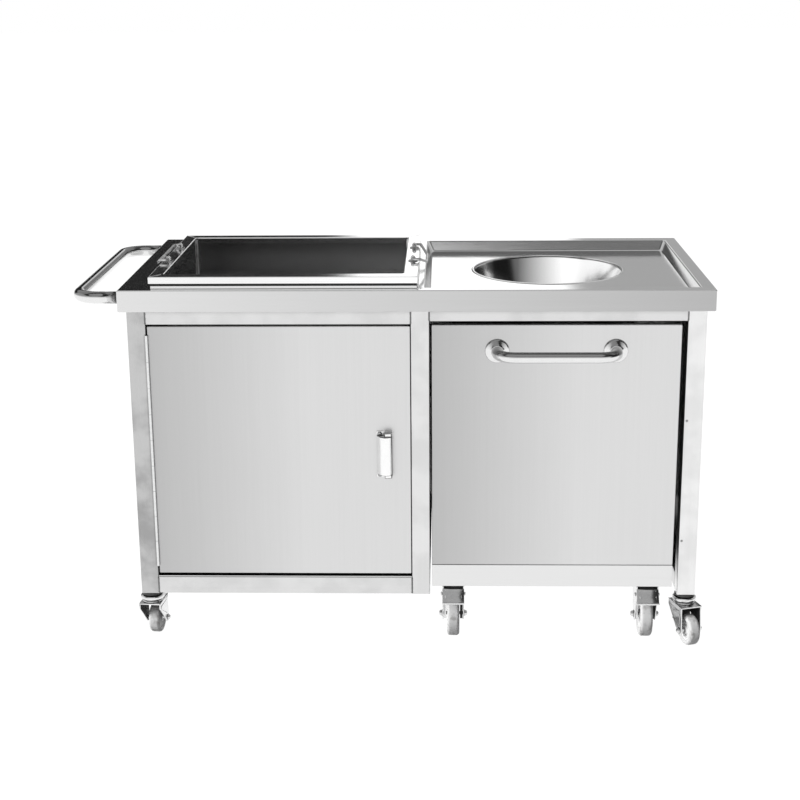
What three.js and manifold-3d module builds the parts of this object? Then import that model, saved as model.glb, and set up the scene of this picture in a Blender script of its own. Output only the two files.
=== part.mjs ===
// Mobile canteen clearing cart in stainless steel: a lift-out tub and a sunk worktop with a waste
// chute, over a cupboard and a roll-out bin trolley, on swivel casters.
// Millimetres, +Z up, floor at z = 0. The front looks along -Y. While it is built, x = 0 is the
// middle of the worktop and y = 0 the front of its apron; at the end the whole cart is moved so
// that the origin is the middle of its own plan, on the floor.
import * as THREE from 'three';
import { mergeVertices } from 'three/addons/utils/BufferGeometryUtils.js';
import Module from 'manifold-3d';

const wasm = await Module();
wasm.setup();

// ---------- driving dimensions ----------
const GAP = 0.3; // clearance between touching pieces

const TOP_WIDTH = 1200;
const TOP_DEPTH = 600;
const TOP_HEIGHT = 765;
const APRON_DROP = 45;
const SHEET = 2;

const TUBE = 38; // square frame tube
const TUBE_WALL = 1.5;
const TUBE_CORNER = 3;
const RAIL_DEPTH = 25; // the shallower tube of the top rails
const LEG_INSET = 15;
const LEG_BOTTOM = 107;
const POST_X = [-10, 28]; // left and right face of the middle posts
const TOP_RAIL_LEFT_Z = 691;
const TOP_RAIL_RIGHT_Z = 697;

const RECESS = { x0: 19, x1: 571, y0: 26, y1: 567 }; // opening of the sunk field
const RECESS_DEPTH = 20;
const RECESS_SLOPE = { left: 10, right: 10, front: 10, back: 21 };

const CHUTE = { x: 284, y: 317, radius: 164, base: 128, wall: 1.5, drop: 120 }; // a funnel

const TUB = { x0: -510, x1: -24, y0: 46, y1: 476, wall: 1.5, depth: 200 };
const TUB_RIM = { x0: -537, x1: 5.5, y0: 13, y1: 506, top: 790, face: 13.5 };
const UPSTAND_CLEARANCE = 3;

const BAIL = { spread: 154, bar: 82, wire: 6, reach: 28.5, drop: 14, inset: 13, shoulder: 14, bend: 5 };
const BAIL_BRACKET = { barrel: 5.5, length: 12, footWidth: 18, footSheet: 2 };

const PAN_DEPTH = 20; // door and trolley front
const PAN_SHEET = 1.5;
const PAN_RETURN = 14;
const DOOR = { x0: -544.5, x1: -11, z0: 153, z1: 688 };
const DOOR_PULL = { x: -65, z: 418.5, width: 32, height: 98, stand: 26, wall: 2 };
const PULL_POST = { radius: 5, inset: 6 };
const HINGE = { radius: 3, pin: 1.3, bore: 1.6, leaf: 0.8, leafDepth: 18, end: 18, knuckles: 9, y: 11.5 };

const PUSH = { radius: 12.5, z: 745, reach: 90, y0: 30, y1: 560, bend: 45 };

const CHASSIS = { x0: 32.5, x1: 536, y1: 540, z0: 125, z1: 173, wall: 2, floor: 3 };
const FRONT_TOP = 690.4;
const STAY = { width: 20, top: 600, inset: 28, cleat: 40 };
const FRONT_SEAM = 0.5; // seam between the trolley's front and its tray
const GRAB = { x0: 165, x1: 404, z: 637, radius: 11.25, proud: 60, bend: 34 };
const GRAB_FLANGE = { radius: 25, thickness: 5 };
const BIN = { top: 615, mouth: 205, base: 178, wall: 3, lip: 9, lipDrop: 12 };

const TREAD_EASE = { drop: 3, inset: 4 }; // eased shoulders of every wheel
const CART_WHEEL = { radius: 32.5, width: 24, trail: 29, axle: 4 };
const CART_FORK = { crown: 85, width: 46, sheet: 3, nose: 36, heel: 26, nut: 7, bolt: 60 };
const CART_LEG = { noseDrop: 26, heelDrop: 24, eye: 11 }; // side plates of the swivel fork
const SWIVEL = { boss: 20, bossHeight: 5, ring: 25, ringTop: 7, ringBottom: 14, neck: 21 };
const CART_HEADINGS = { front_left: 85, front_right: -73, back_left: 180, back_right: 188 };

const TROLLEY_WHEEL = { radius: 47.5, width: 26, axle: 4 };
const TROLLEY_FORK = { width: 46, sheet: 3, front: 24, back: 36, nut: 8, bolt: 60 };
const TROLLEY_LEG = { noseDrop: 24, heelDrop: 22, eye: 15, brakeNose: 14 };
const TROLLEY_CASTER_X = [77, 486];
const TROLLEY_CASTER_Y = { front: 54, back: 470 };
const PEDAL = { pinY: -28, pinZ: 56, pin: 3, width: 46, sheet: 2.5 };

const NUT = { sides: 6, sunk: 0.5, tip: 1.5 };

const LARGE_ROUND = 48; // sides of the chute
const ROUND = 24; // sides of a wheel, ring or flange
const SMALL_ROUND = 10; // sides of a bolt or pin
const WIRE_ROUND = 8; // sides of a wire or knuckle
const TUBE_ROUND = 12; // sides of a handle tube
const TUBE_STEPS = 28; // lengths in a bent handle
const BAIL_STEPS = 36;

// ---------- finishes ----------
const finish = (color, roughness, metalness) =>
  new THREE.MeshStandardMaterial({ color, roughness, metalness });
const brushed = finish(0xc9cbcc, 0.35, 0.9);
const polished = finish(0xdedfe0, 0.12, 1);
const zinc = finish(0xb9bcbe, 0.4, 0.8);
const wheelPlastic = finish(0xd3d4d4, 0.5, 0);
const binPlastic = finish(0x4a4d50, 0.6, 0);

// ---------- solids ----------
/** A closed geometry as a manifold-3d solid, with its faces turned outwards. */
function solid(geometry) {
  const bare = geometry.clone();
  bare.deleteAttribute('normal');
  bare.deleteAttribute('uv');
  const merged = mergeVertices(bare, 1e-4);
  const points = merged.attributes.position.array;
  const kept = [];
  for (let i = 0; i < merged.index.count; i += 3) {
    const [a, b, c] = [0, 1, 2].map((k) => merged.index.getX(i + k));
    if (a !== b && b !== c && a !== c) kept.push(a, b, c);
  }
  if (signedVolume(points, kept) < 0) kept.reverse();
  return new wasm.Manifold(new wasm.Mesh({
    numProp: 3,
    vertProperties: Float32Array.from(points),
    triVerts: Uint32Array.from(kept),
  }));
}

function signedVolume(points, triangles) {
  const corner = (i) => new THREE.Vector3().fromArray(points, 3 * triangles[i]);
  let sum = 0;
  for (let i = 0; i < triangles.length; i += 3) {
    sum += corner(i).dot(corner(i + 1).cross(corner(i + 2)));
  }
  return sum;
}

/** A manifold-3d solid as a flat-shaded three.js geometry. */
function geometryOf(body) {
  const { vertProperties, triVerts } = body.getMesh();
  const geometry = new THREE.BufferGeometry();
  geometry.setAttribute('position', new THREE.BufferAttribute(vertProperties, 3));
  geometry.setIndex(new THREE.BufferAttribute(triVerts, 1));
  geometry.computeVertexNormals();
  return geometry;
}

const union = (bodies) => bodies.reduce((sum, body) => sum.add(body));

/** A block between two corners. */
function block(x0, x1, y0, y1, z0, z1) {
  const geometry = new THREE.BoxGeometry(x1 - x0, y1 - y0, z1 - z0);
  geometry.translate((x0 + x1) / 2, (y0 + y1) / 2, (z0 + z1) / 2);
  return solid(geometry);
}

/** A round bar from one point to another. */
function bar(from, to, radius, sides = SMALL_ROUND) {
  const start = new THREE.Vector3(...from);
  const along = new THREE.Vector3(...to).sub(start);
  const geometry = new THREE.CylinderGeometry(radius, radius, along.length(), sides);
  geometry.translate(0, along.length() / 2, 0);
  const up = new THREE.Vector3(0, 1, 0);
  geometry.applyQuaternion(new THREE.Quaternion().setFromUnitVectors(up, along.normalize()));
  geometry.translate(start.x, start.y, start.z);
  return solid(geometry);
}

/** A profile of [radius, height] points turned about the z axis. */
function turned(profile, sides = ROUND) {
  const points = profile.map(([radius, height]) => new THREE.Vector2(radius, height));
  const geometry = new THREE.LatheGeometry(points, sides);
  geometry.rotateX(Math.PI / 2);
  return solid(geometry);
}

/** A flat plate: an outline of [y, z] points, thickened from x0 to x1. */
function sidePlate(outline, x0, x1) {
  const shape = new THREE.Shape(outline.map(([y, z]) => new THREE.Vector2(y, z)));
  const geometry = new THREE.ExtrudeGeometry(shape, { depth: x1 - x0, bevelEnabled: false });
  geometry.rotateX(Math.PI / 2);
  geometry.rotateZ(Math.PI / 2);
  geometry.translate(x0, 0, 0);
  return solid(geometry);
}

/** The points of an arc, as [y, z] pairs, from one angle to another in degrees. */
function arc(y, z, radius, from, to, steps) {
  return Array.from({ length: steps + 1 }, (_, i) => {
    const angle = THREE.MathUtils.degToRad(from + ((to - from) * i) / steps);
    return [y + radius * Math.cos(angle), z + radius * Math.sin(angle)];
  });
}

/** A round bar along a route of points, each inner corner rounded to the bend radius. */
function bentBar(route, bend, radius, steps, sides) {
  const corners = route.map((point) => new THREE.Vector3(...point));
  const path = new THREE.CurvePath();
  let from = corners[0];
  for (let i = 1; i < corners.length - 1; i += 1) {
    const before = corners[i - 1].clone().sub(corners[i]).normalize();
    const after = corners[i + 1].clone().sub(corners[i]).normalize();
    const half = before.angleTo(after) / 2;
    const setback = bend / Math.tan(half);
    const handle = (4 / 3) * Math.tan((Math.PI - 2 * half) / 4) * bend;
    const start = corners[i].clone().addScaledVector(before, setback);
    const end = corners[i].clone().addScaledVector(after, setback);
    path.add(new THREE.LineCurve3(from, start));
    path.add(new THREE.CubicBezierCurve3(start, start.clone().addScaledVector(before, -handle),
      end.clone().addScaledVector(after, -handle), end));
    from = end;
  }
  path.add(new THREE.LineCurve3(from, corners.at(-1)));
  const section = new THREE.Shape().absarc(0, 0, radius, 0, 2 * Math.PI);
  return solid(new THREE.ExtrudeGeometry(section, {
    steps, curveSegments: sides / 2, extrudePath: path, bevelEnabled: false,
  }));
}

/** A rectangular tube with rounded corners, standing on z = 0. */
function tube(width, depth, length) {
  const section = roundedOutline(new THREE.Shape(), width, depth, TUBE_CORNER);
  const hole = roundedOutline(new THREE.Path(), width - 2 * TUBE_WALL, depth - 2 * TUBE_WALL,
    TUBE_CORNER - TUBE_WALL);
  section.holes.push(hole);
  return new THREE.ExtrudeGeometry(section, {
    depth: length, bevelEnabled: false, curveSegments: 2,
  });
}

function roundedOutline(path, width, depth, corner) {
  const [x, y] = [width / 2 - corner, depth / 2 - corner];
  const centres = [[x, y], [-x, y], [-x, -y], [x, -y]];
  centres.forEach(([cx, cy], i) => {
    path.absarc(cx, cy, corner, (i * Math.PI) / 2, ((i + 1) * Math.PI) / 2);
  });
  path.closePath();
  return path;
}

// ---------- the scene ----------
const cart = new THREE.Group();

function add(name, body, material, parent = cart) {
  const geometry = body.isBufferGeometry ? body : geometryOf(body);
  const mesh = new THREE.Mesh(geometry, material);
  mesh.name = name;
  parent.add(mesh);
  return mesh;
}

// ---------- worktop ----------
/** The sunk field as a solid, its sides moved out by a margin. */
function recessSolid(margin, top, bottom) {
  const r = RECESS;
  const s = RECESS_SLOPE;
  const upper = [[r.x0, r.y0], [r.x1, r.y0], [r.x1, r.y1], [r.x0, r.y1]];
  const inward = [[s.left, s.front], [-s.right, s.front], [-s.right, -s.back], [s.left, -s.back]];
  const outward = [[-1, -1], [1, -1], [1, 1], [-1, 1]];
  const corners = [];
  [bottom, top].forEach((z, level) => {
    upper.forEach(([x, y], i) => {
      const slope = level === 0 ? 1 : 0;
      corners.push(x + slope * inward[i][0] + margin * outward[i][0],
        y + slope * inward[i][1] + margin * outward[i][1], z);
    });
  });
  const geometry = new THREE.BufferGeometry();
  geometry.setAttribute('position', new THREE.Float32BufferAttribute(corners, 3));
  geometry.setIndex([0, 2, 1, 0, 3, 2, 4, 5, 6, 4, 6, 7, 0, 1, 5, 0, 5, 4,
    1, 2, 6, 1, 6, 5, 2, 3, 7, 2, 7, 6, 3, 0, 4, 3, 4, 7]);
  return solid(geometry);
}

const halfTop = TOP_WIDTH / 2;
const fieldZ = TOP_HEIGHT - RECESS_DEPTH;
const skinZ = TOP_HEIGHT - SHEET; // underside of the worktop skin
const cutout = {
  x0: TUB.x0 - UPSTAND_CLEARANCE,
  x1: TUB.x1 + UPSTAND_CLEARANCE,
  y0: TUB.y0 - UPSTAND_CLEARANCE,
  y1: TUB.y1 + UPSTAND_CLEARANCE,
};
const upstandTop = TUB_RIM.top - TUB.wall - GAP;

function worktop() {
  const outside = block(-halfTop, halfTop, 0, TOP_DEPTH, TOP_HEIGHT - APRON_DROP, TOP_HEIGHT);
  const under = block(-halfTop + SHEET, halfTop - SHEET, SHEET, TOP_DEPTH - SHEET,
    TOP_HEIGHT - APRON_DROP - SHEET, skinZ);
  const pressing = recessSolid(SHEET, TOP_HEIGHT, fieldZ - SHEET);
  const upstand = block(cutout.x0 - SHEET, cutout.x1 + SHEET, cutout.y0 - SHEET,
    cutout.y1 + SHEET, skinZ, upstandTop);
  const opening = block(cutout.x0, cutout.x1, cutout.y0, cutout.y1, skinZ - SHEET,
    upstandTop + SHEET);
  const hole = bar([CHUTE.x, CHUTE.y, fieldZ - RECESS_DEPTH], [CHUTE.x, CHUTE.y, TOP_HEIGHT],
    CHUTE.radius, LARGE_ROUND);
  return outside.subtract(under.subtract(pressing)).add(upstand).subtract(opening)
    .subtract(recessSolid(0, TOP_HEIGHT, fieldZ)).subtract(hole);
}
add('worktop', worktop(), brushed);

const collarTop = fieldZ - SHEET - GAP;
const collar = turned([
  [CHUTE.radius, collarTop],
  [CHUTE.base, collarTop - CHUTE.drop],
  [CHUTE.base + CHUTE.wall, collarTop - CHUTE.drop],
  [CHUTE.radius + CHUTE.wall, collarTop],
  [CHUTE.radius, collarTop],
], LARGE_ROUND);
add('chute_collar', collar.translate([CHUTE.x, CHUTE.y, 0]), brushed);

// ---------- frame ----------
const legFace = halfTop - LEG_INSET; // outer face of the legs
const frameBack = TOP_DEPTH - LEG_INSET;
const inner = legFace - TUBE; // inner face of the legs
const half = TUBE / 2;
const underField = fieldZ - SHEET - GAP;

/** An upright frame tube, by its plan centre. */
function upright(name, x, y, z0, z1) {
  add(name, tube(TUBE, TUBE, z1 - z0), brushed).position.set(x, y, z0);
}

/** A frame tube running along x, by its front lower edge. */
function crossRail(name, x0, x1, y0, z0, depth) {
  const geometry = tube(TUBE, depth, x1 - x0);
  geometry.rotateY(Math.PI / 2);
  add(name, geometry, brushed).position.set(x0, y0 + depth / 2, z0 + half);
}

/** A frame tube running along y between the legs, by its plan centre. */
function sideRail(name, x) {
  const from = LEG_INSET + TUBE + GAP;
  const geometry = tube(TUBE, TUBE, TOP_DEPTH - 2 * from);
  geometry.rotateX(-Math.PI / 2);
  add(name, geometry, brushed).position.set(x, from, LEG_BOTTOM + half);
}

const legX = legFace - half;
const legY = { front: LEG_INSET + half, back: TOP_DEPTH - LEG_INSET - half };
const postX = (POST_X[0] + POST_X[1]) / 2;
upright('leg_front_left', -legX, legY.front, LEG_BOTTOM, skinZ - GAP);
upright('leg_front_right', legX, legY.front, LEG_BOTTOM, underField);
upright('leg_back_left', -legX, legY.back, LEG_BOTTOM, skinZ - GAP);
upright('leg_back_right', legX, legY.back, LEG_BOTTOM, underField);
upright('post_front', postX, legY.front, LEG_BOTTOM, underField);
upright('post_back', postX, legY.back, LEG_BOTTOM + TUBE + GAP, TOP_RAIL_RIGHT_Z - GAP);

const leftBay = [-inner + GAP, POST_X[0] - GAP];
const rightBay = [POST_X[1] + GAP, inner - GAP];
crossRail('rail_top_front_left', ...leftBay, LEG_INSET, TOP_RAIL_LEFT_Z, RAIL_DEPTH);
crossRail('rail_top_front_right', ...rightBay, LEG_INSET, TOP_RAIL_RIGHT_Z, RAIL_DEPTH);
crossRail('rail_top_back', leftBay[0], rightBay[1], frameBack - RAIL_DEPTH, TOP_RAIL_RIGHT_Z,
  RAIL_DEPTH);
crossRail('rail_bottom_front', ...leftBay, LEG_INSET, LEG_BOTTOM, TUBE);
crossRail('rail_bottom_back', leftBay[0], rightBay[1], frameBack - TUBE, LEG_BOTTOM, TUBE);
sideRail('rail_bottom_left', -legX);
sideRail('rail_bottom_right', legX);
sideRail('rail_bottom_middle', postX);

// ---------- skins ----------
const railTop = LEG_BOTTOM + TUBE + GAP;
const skinFront = LEG_INSET + TUBE + GAP;
const skinBack = TOP_DEPTH - skinFront;
const skinTop = skinZ - GAP;
const sideSkin = legFace - 2 * SHEET; // inner face of the side skins
add('side_panel_left', block(-sideSkin - SHEET, -sideSkin, skinFront, skinBack, railTop, skinTop),
  brushed);
add('side_panel_right', block(sideSkin, sideSkin + SHEET, skinFront, skinBack, railTop, skinTop),
  brushed);
add('back_panel', block(-legFace, legFace, frameBack + GAP, frameBack + GAP + SHEET, LEG_BOTTOM,
  skinTop), brushed);
add('divider_panel', block(POST_X[0], POST_X[0] + SHEET, skinFront, skinBack, railTop, skinTop),
  brushed);
add('cupboard_floor', block(leftBay[0], leftBay[1], LEG_INSET + GAP, frameBack - GAP, railTop,
  railTop + SHEET), brushed);

// ---------- push handle ----------
const pushX = -halfTop - PUSH.reach;
const pushRoute = [
  [-halfTop - GAP, PUSH.y0, PUSH.z],
  [pushX, PUSH.y0, PUSH.z],
  [pushX, PUSH.y1, PUSH.z],
  [-halfTop - GAP, PUSH.y1, PUSH.z],
];
add('push_handle', bentBar(pushRoute, PUSH.bend, PUSH.radius, TUBE_STEPS, TUBE_ROUND), polished);

// ---------- cupboard door ----------
/** A shallow pan of folded sheet, front face at y, open behind with a return all round. */
function pan(x0, x1, y, z0, z1) {
  const back = y + PAN_DEPTH;
  const s = PAN_SHEET;
  const r = PAN_RETURN;
  return block(x0, x1, y, back, z0, z1)
    .subtract(block(x0 + s, x1 - s, y + s, back - s, z0 + s, z1 - s))
    .subtract(block(x0 + r, x1 - r, y + s, back + s, z0 + r, z1 - r));
}
const frontFace = LEG_INSET;
add('door_panel', pan(DOOR.x0, DOOR.x1, frontFace, DOOR.z0, DOOR.z1), brushed);

/** An upright half-round grip, open behind, on two end posts. */
function doorPull() {
  const { x, z, width, height, stand, wall } = DOOR_PULL;
  const outer = width / 2;
  const low = z - height / 2;
  const y = frontFace - stand + outer;
  const round = bar([x, y, low], [x, y, low + height], outer, ROUND);
  const bore = bar([x, y, low - 1], [x, y, low + height + 1], outer - wall, ROUND);
  const behind = block(x - width, x + width, y, y + width, low - 1, low + height + 1);
  const shell = round.subtract(bore).subtract(behind);
  const posts = [low + PULL_POST.inset, low + height - PULL_POST.inset].map((level) =>
    bar([x, frontFace - GAP, level], [x, y - outer + wall / 2, level], PULL_POST.radius));
  return union([shell, ...posts]);
}
add('door_handle', doorPull(), polished);

// Piano hinge in the gap between the left leg and the door.
const hingeX = (-inner + DOOR.x0) / 2;
const hingeLow = DOOR.z0 + HINGE.end;
const hingeHigh = DOOR.z1 - HINGE.end;
const knuckle = (hingeHigh - hingeLow) / HINGE.knuckles;

/** One leaf of the piano hinge: every second knuckle, and the strip that joins them. */
function hingeLeaf(side, first) {
  const { radius, bore, leaf, y } = HINGE;
  const near = (DOOR.x0 + inner) / 2 - GAP - leaf; // from the hinge line to the strip
  const x0 = side < 0 ? hingeX - near - leaf : hingeX + near;
  const strip = block(x0, x0 + leaf, y + radius + GAP, y + radius + HINGE.leafDepth, hingeLow,
    hingeHigh);
  const parts = [strip];
  for (let i = first; i < HINGE.knuckles; i += 2) {
    const low = hingeLow + i * knuckle + GAP / 2;
    const high = low + knuckle - GAP;
    parts.push(bar([hingeX, y, low], [hingeX, y, high], radius, WIRE_ROUND));
    parts.push(block(x0, x0 + leaf, y, y + radius + 1, low, high));
  }
  return union(parts).subtract(bar([hingeX, y, hingeLow - 1], [hingeX, y, hingeHigh + 1], bore,
    WIRE_ROUND));
}
add('hinge_leaf_frame', hingeLeaf(-1, 0), zinc);
add('hinge_leaf_door', hingeLeaf(1, 1), zinc);
add('hinge_pin', bar([hingeX, HINGE.y, hingeLow], [hingeX, HINGE.y, hingeHigh], HINGE.pin,
  WIRE_ROUND), zinc);

const catchSize = { x: 16, y: 14, z: 40 };
const catchTop = 560;
add('door_catch', block(POST_X[0] - GAP - catchSize.x, POST_X[0] - GAP,
  frontFace + PAN_DEPTH + GAP, frontFace + PAN_DEPTH + GAP + catchSize.y,
  catchTop - catchSize.z, catchTop), binPlastic);

// ---------- tub ----------
function tub() {
  const { x0, x1, y0, y1, wall, depth } = TUB;
  const rim = TUB_RIM;
  const bottom = rim.top - depth;
  const rimBlock = block(rim.x0, rim.x1, rim.y0, rim.y1, rim.top - rim.face, rim.top);
  const rimHollow = block(rim.x0 + wall, rim.x1 - wall, rim.y0 + wall, rim.y1 - wall,
    rim.top - rim.face - wall, rim.top - wall);
  const bowl = block(x0 - wall, x1 + wall, y0 - wall, y1 + wall, bottom, rim.top);
  const inside = block(x0, x1, y0, y1, bottom + wall, rim.top + wall);
  return rimBlock.subtract(rimHollow).add(bowl).subtract(inside);
}
add('tub', tub(), brushed);

const tubMiddleY = (TUB_RIM.y0 + TUB_RIM.y1) / 2;
const bailZ = TUB_RIM.top + GAP + BAIL_BRACKET.barrel;

/** A hinge bracket on the end rim: a foot with a barrel at each end, bored for the bail. */
function bailBracket(axisX, side) {
  const { barrel, length, footWidth, footSheet } = BAIL_BRACKET;
  const pivot = BAIL.spread / 2;
  const foot = block(-footWidth / 2, footWidth / 2, -pivot - length / 2, pivot + length / 2,
    -barrel, footSheet - barrel);
  const along = (reach, radius) => [-pivot, pivot].map((y) =>
    bar([0, y - reach, 0], [0, y + reach, 0], radius));
  const barrels = along(length / 2, barrel);
  const bores = along(length / 2 + 1, BAIL.wire / 2 + 2 * GAP);
  const body = union([foot, ...barrels]).subtract(union(bores));
  return body.scale([side, 1, 1]).translate([axisX, tubMiddleY, bailZ]);
}

/** A drop handle of bent wire, hanging outwards over the rim. */
function bail(axisX, side) {
  const { spread, bar: barLength, wire, reach, drop, shoulder, bend } = BAIL;
  const arm = [
    [0, spread / 2 - BAIL_BRACKET.length, 0],
    [0, spread / 2 + shoulder, 0],
    [shoulder, spread / 2 + BAIL_BRACKET.length, 0],
    [reach, barLength / 2, -drop],
  ];
  const mirrored = arm.map(([x, y, z]) => [x, -y, z]);
  const body = bentBar([...mirrored, ...arm.reverse()], bend, wire / 2, BAIL_STEPS, WIRE_ROUND);
  return body.scale([side, 1, 1]).translate([axisX, tubMiddleY, bailZ]);
}
const bailEnds = [['left', TUB_RIM.x0 + BAIL.inset, -1], ['right', TUB_RIM.x1 - BAIL.inset, 1]];
bailEnds.forEach(([end, axisX, side]) => {
  add(`bail_bracket_${end}`, bailBracket(axisX, side), polished);
  add(`bail_${end}`, bail(axisX, side), polished);
});

// ---------- bin trolley ----------
function trolleyTray() {
  const { x0, x1, y1, z0, z1, wall, floor } = CHASSIS;
  return block(x0, x1, frontFace, y1, z0, z1)
    .subtract(block(x0 + wall, x1 - wall, frontFace + wall, y1 - wall, z0 + floor, z1 + wall));
}
add('trolley_tray', trolleyTray(), brushed);

/** The trolley's front pan with the two stays that stand in the tray behind it. */
function trolleyFront() {
  const front = pan(CHASSIS.x0, CHASSIS.x1, frontFace, CHASSIS.z1 + FRONT_SEAM, FRONT_TOP);
  const stayLow = CHASSIS.z0 + CHASSIS.floor + GAP;
  const stayY = frontFace + PAN_DEPTH - PAN_SHEET;
  const stays = [CHASSIS.x0 + STAY.inset, CHASSIS.x1 - STAY.inset - STAY.width].map((x) =>
    block(x, x + STAY.width, stayY, stayY + STAY.width, stayLow, STAY.top));
  const cleats = [CHASSIS.x0 + STAY.inset, CHASSIS.x1 - STAY.inset - STAY.width].map((x) =>
    block(x, x + STAY.width, frontFace + PAN_SHEET / 2, stayY + 1, STAY.top - STAY.cleat, STAY.top));
  return union([front, ...stays, ...cleats]);
}
add('trolley_front', trolleyFront(), brushed);

/** A bent tube grab handle on two round flanges. */
function grabHandle() {
  const { x0, x1, z, radius, proud, bend } = GRAB;
  const wallY = frontFace - GAP;
  const barY = frontFace - proud;
  const route = [[x0, wallY, z], [x0, barY, z], [x1, barY, z], [x1, wallY, z]];
  const flanges = [x0, x1].map((x) =>
    bar([x, wallY, z], [x, wallY - GRAB_FLANGE.thickness, z], GRAB_FLANGE.radius, ROUND));
  return union([bentBar(route, bend, radius, TUBE_STEPS, TUBE_ROUND), ...flanges]);
}
add('trolley_handle', grabHandle(), polished);

const binBase = CHASSIS.z0 + CHASSIS.floor + GAP;
const bin = turned([
  [0, binBase],
  [BIN.base, binBase],
  [BIN.mouth, BIN.top - BIN.lipDrop],
  [BIN.mouth + BIN.lip, BIN.top - BIN.lipDrop],
  [BIN.mouth + BIN.lip, BIN.top],
  [BIN.mouth - BIN.wall, BIN.top],
  [BIN.base - BIN.wall, binBase + BIN.wall],
  [0, binBase + BIN.wall],
]);
add('waste_bin', bin.translate([CHUTE.x, CHUTE.y, 0]), binPlastic);

// ---------- casters ----------
/** A caster wheel about the x axis: flat tread with eased shoulders, bored for its axle. */
function wheel({ radius, width, axle }) {
  const edge = width / 2;
  const bore = axle + GAP;
  const outline = [
    [bore, edge],
    [radius - TREAD_EASE.drop, edge],
    [radius, edge - TREAD_EASE.inset],
  ];
  const mirrored = outline.map(([r, x]) => [r, -x]).reverse();
  const body = turned([...outline, ...mirrored, outline[0]]);
  return body.rotate([0, 90, 0]);
}

/** The axle bolt along x with its head and nut. */
function axleBolt(axle, head, length, forkWidth) {
  const end = length / 2;
  const seat = forkWidth / 2 - NUT.sunk;
  const heads = [-1, 1].map((side) =>
    bar([side * seat, 0, 0], [side * (end - NUT.tip), 0, 0], head, NUT.sides));
  return union([bar([-end, 0, 0], [end, 0, 0], axle), ...heads]);
}

/** The swivel fork of a cart caster: pivot on the z axis, wheel towards -y. */
function swivelFork() {
  const { crown, width, sheet, nose, heel, nut, bolt } = CART_FORK;
  const { trail, radius, axle } = CART_WHEEL;
  const outer = width / 2;
  const outline = [
    [heel, crown],
    [-nose, crown],
    [-nose, crown - CART_LEG.noseDrop],
    ...arc(-trail, radius, CART_LEG.eye, 180, 330, 4),
    [heel, crown - CART_LEG.heelDrop],
  ];
  const plates = [-1, 1].map((side) => sidePlate(outline,
    Math.min(side * outer, side * (outer - sheet)), Math.max(side * outer, side * (outer - sheet))));
  return union([
    ...plates,
    block(-outer, outer, -nose, heel, crown - sheet, crown),
    bar([0, 0, crown - sheet], [0, 0, crown + SWIVEL.bossHeight], SWIVEL.boss, ROUND),
    axleBolt(axle, nut, bolt, width).translate([0, -trail, radius]),
  ]);
}

/** The fixed half of a cart caster: stem plate and bearing ring under the leg. */
function casterHead() {
  const under = CART_FORK.crown + SWIVEL.bossHeight + GAP;
  return turned([
    [0, LEG_BOTTOM - GAP],
    [SWIVEL.neck, LEG_BOTTOM - GAP],
    [SWIVEL.neck, LEG_BOTTOM - SWIVEL.ringTop + 1],
    [SWIVEL.ring, LEG_BOTTOM - SWIVEL.ringTop],
    [SWIVEL.ring, LEG_BOTTOM - SWIVEL.ringBottom],
    [SWIVEL.neck, under],
    [0, under],
  ]);
}

Object.entries(CART_HEADINGS).forEach(([corner, heading]) => {
  const [end, side] = corner.split('_');
  const caster = new THREE.Group();
  caster.position.set(side === 'left' ? -legX : legX, legY[end], 0);
  const swivel = new THREE.Group();
  swivel.rotation.z = THREE.MathUtils.degToRad(heading + 90);
  caster.add(swivel);
  add(`caster_head_${corner}`, casterHead(), zinc, caster);
  add(`caster_fork_${corner}`, swivelFork(), zinc, swivel);
  add(`caster_wheel_${corner}`, wheel(CART_WHEEL), wheelPlastic, swivel)
    .position.set(0, -CART_WHEEL.trail, CART_WHEEL.radius);
  cart.add(caster);
});

/** The fixed fork of a trolley caster about its axle; braked forks take the pedal's pin. */
function fixedFork(braked) {
  const { width, sheet, front, back, nut, bolt } = TROLLEY_FORK;
  const top = CHASSIS.z0 - GAP - TROLLEY_WHEEL.radius;
  const outer = width / 2;
  const nose = braked ? front + TROLLEY_LEG.brakeNose : back;
  const outline = [
    [back, top],
    [-nose, top],
    [-nose, top - TROLLEY_LEG.noseDrop],
    ...arc(0, 0, TROLLEY_LEG.eye, 200, 340, 4),
    [back, top - TROLLEY_LEG.heelDrop],
  ];
  const plates = [-1, 1].map((side) => sidePlate(outline,
    Math.min(side * outer, side * (outer - sheet)), Math.max(side * outer, side * (outer - sheet))));
  const body = union([
    ...plates,
    block(-outer, outer, -front, back, top - sheet, top),
    axleBolt(TROLLEY_WHEEL.axle, nut, bolt, width),
  ]);
  const pinHole = bar([-width, PEDAL.pinY, PEDAL.pinZ], [width, PEDAL.pinY, PEDAL.pinZ],
    PEDAL.pin + GAP);
  return braked ? body.subtract(pinHole) : body;
}

/** The brake pedal: a sloping plate with a lip, two ears and the pin through the fork. */
function brakePedal() {
  const { pinY, pinZ, pin, width, sheet } = PEDAL;
  const outer = width / 2;
  const ear = outer - TROLLEY_FORK.sheet - 1;
  const plate = sidePlate([
    [pinY - 12, pinZ + 14],
    [pinY - 14, pinZ + 16],
    [pinY - 31, pinZ - 7],
    [pinY - 35, pinZ - 9],
    [pinY - 34, pinZ - 12],
    [pinY - 28.5, pinZ - 9],
  ], -outer, outer);
  const ears = [-1, 1].map((side) => sidePlate([
    [pinY - 14, pinZ + 14],
    [pinY - 29, pinZ - 7],
    [pinY - 20, pinZ - 5],
    ...arc(pinY, pinZ, 6, 260, 450, 4),
  ], Math.min(side * ear, side * (ear - sheet)), Math.max(side * ear, side * (ear - sheet))));
  return union([plate, ...ears,
    bar([-outer - 3, pinY, pinZ], [outer + 3, pinY, pinZ], pin)]);
}

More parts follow.
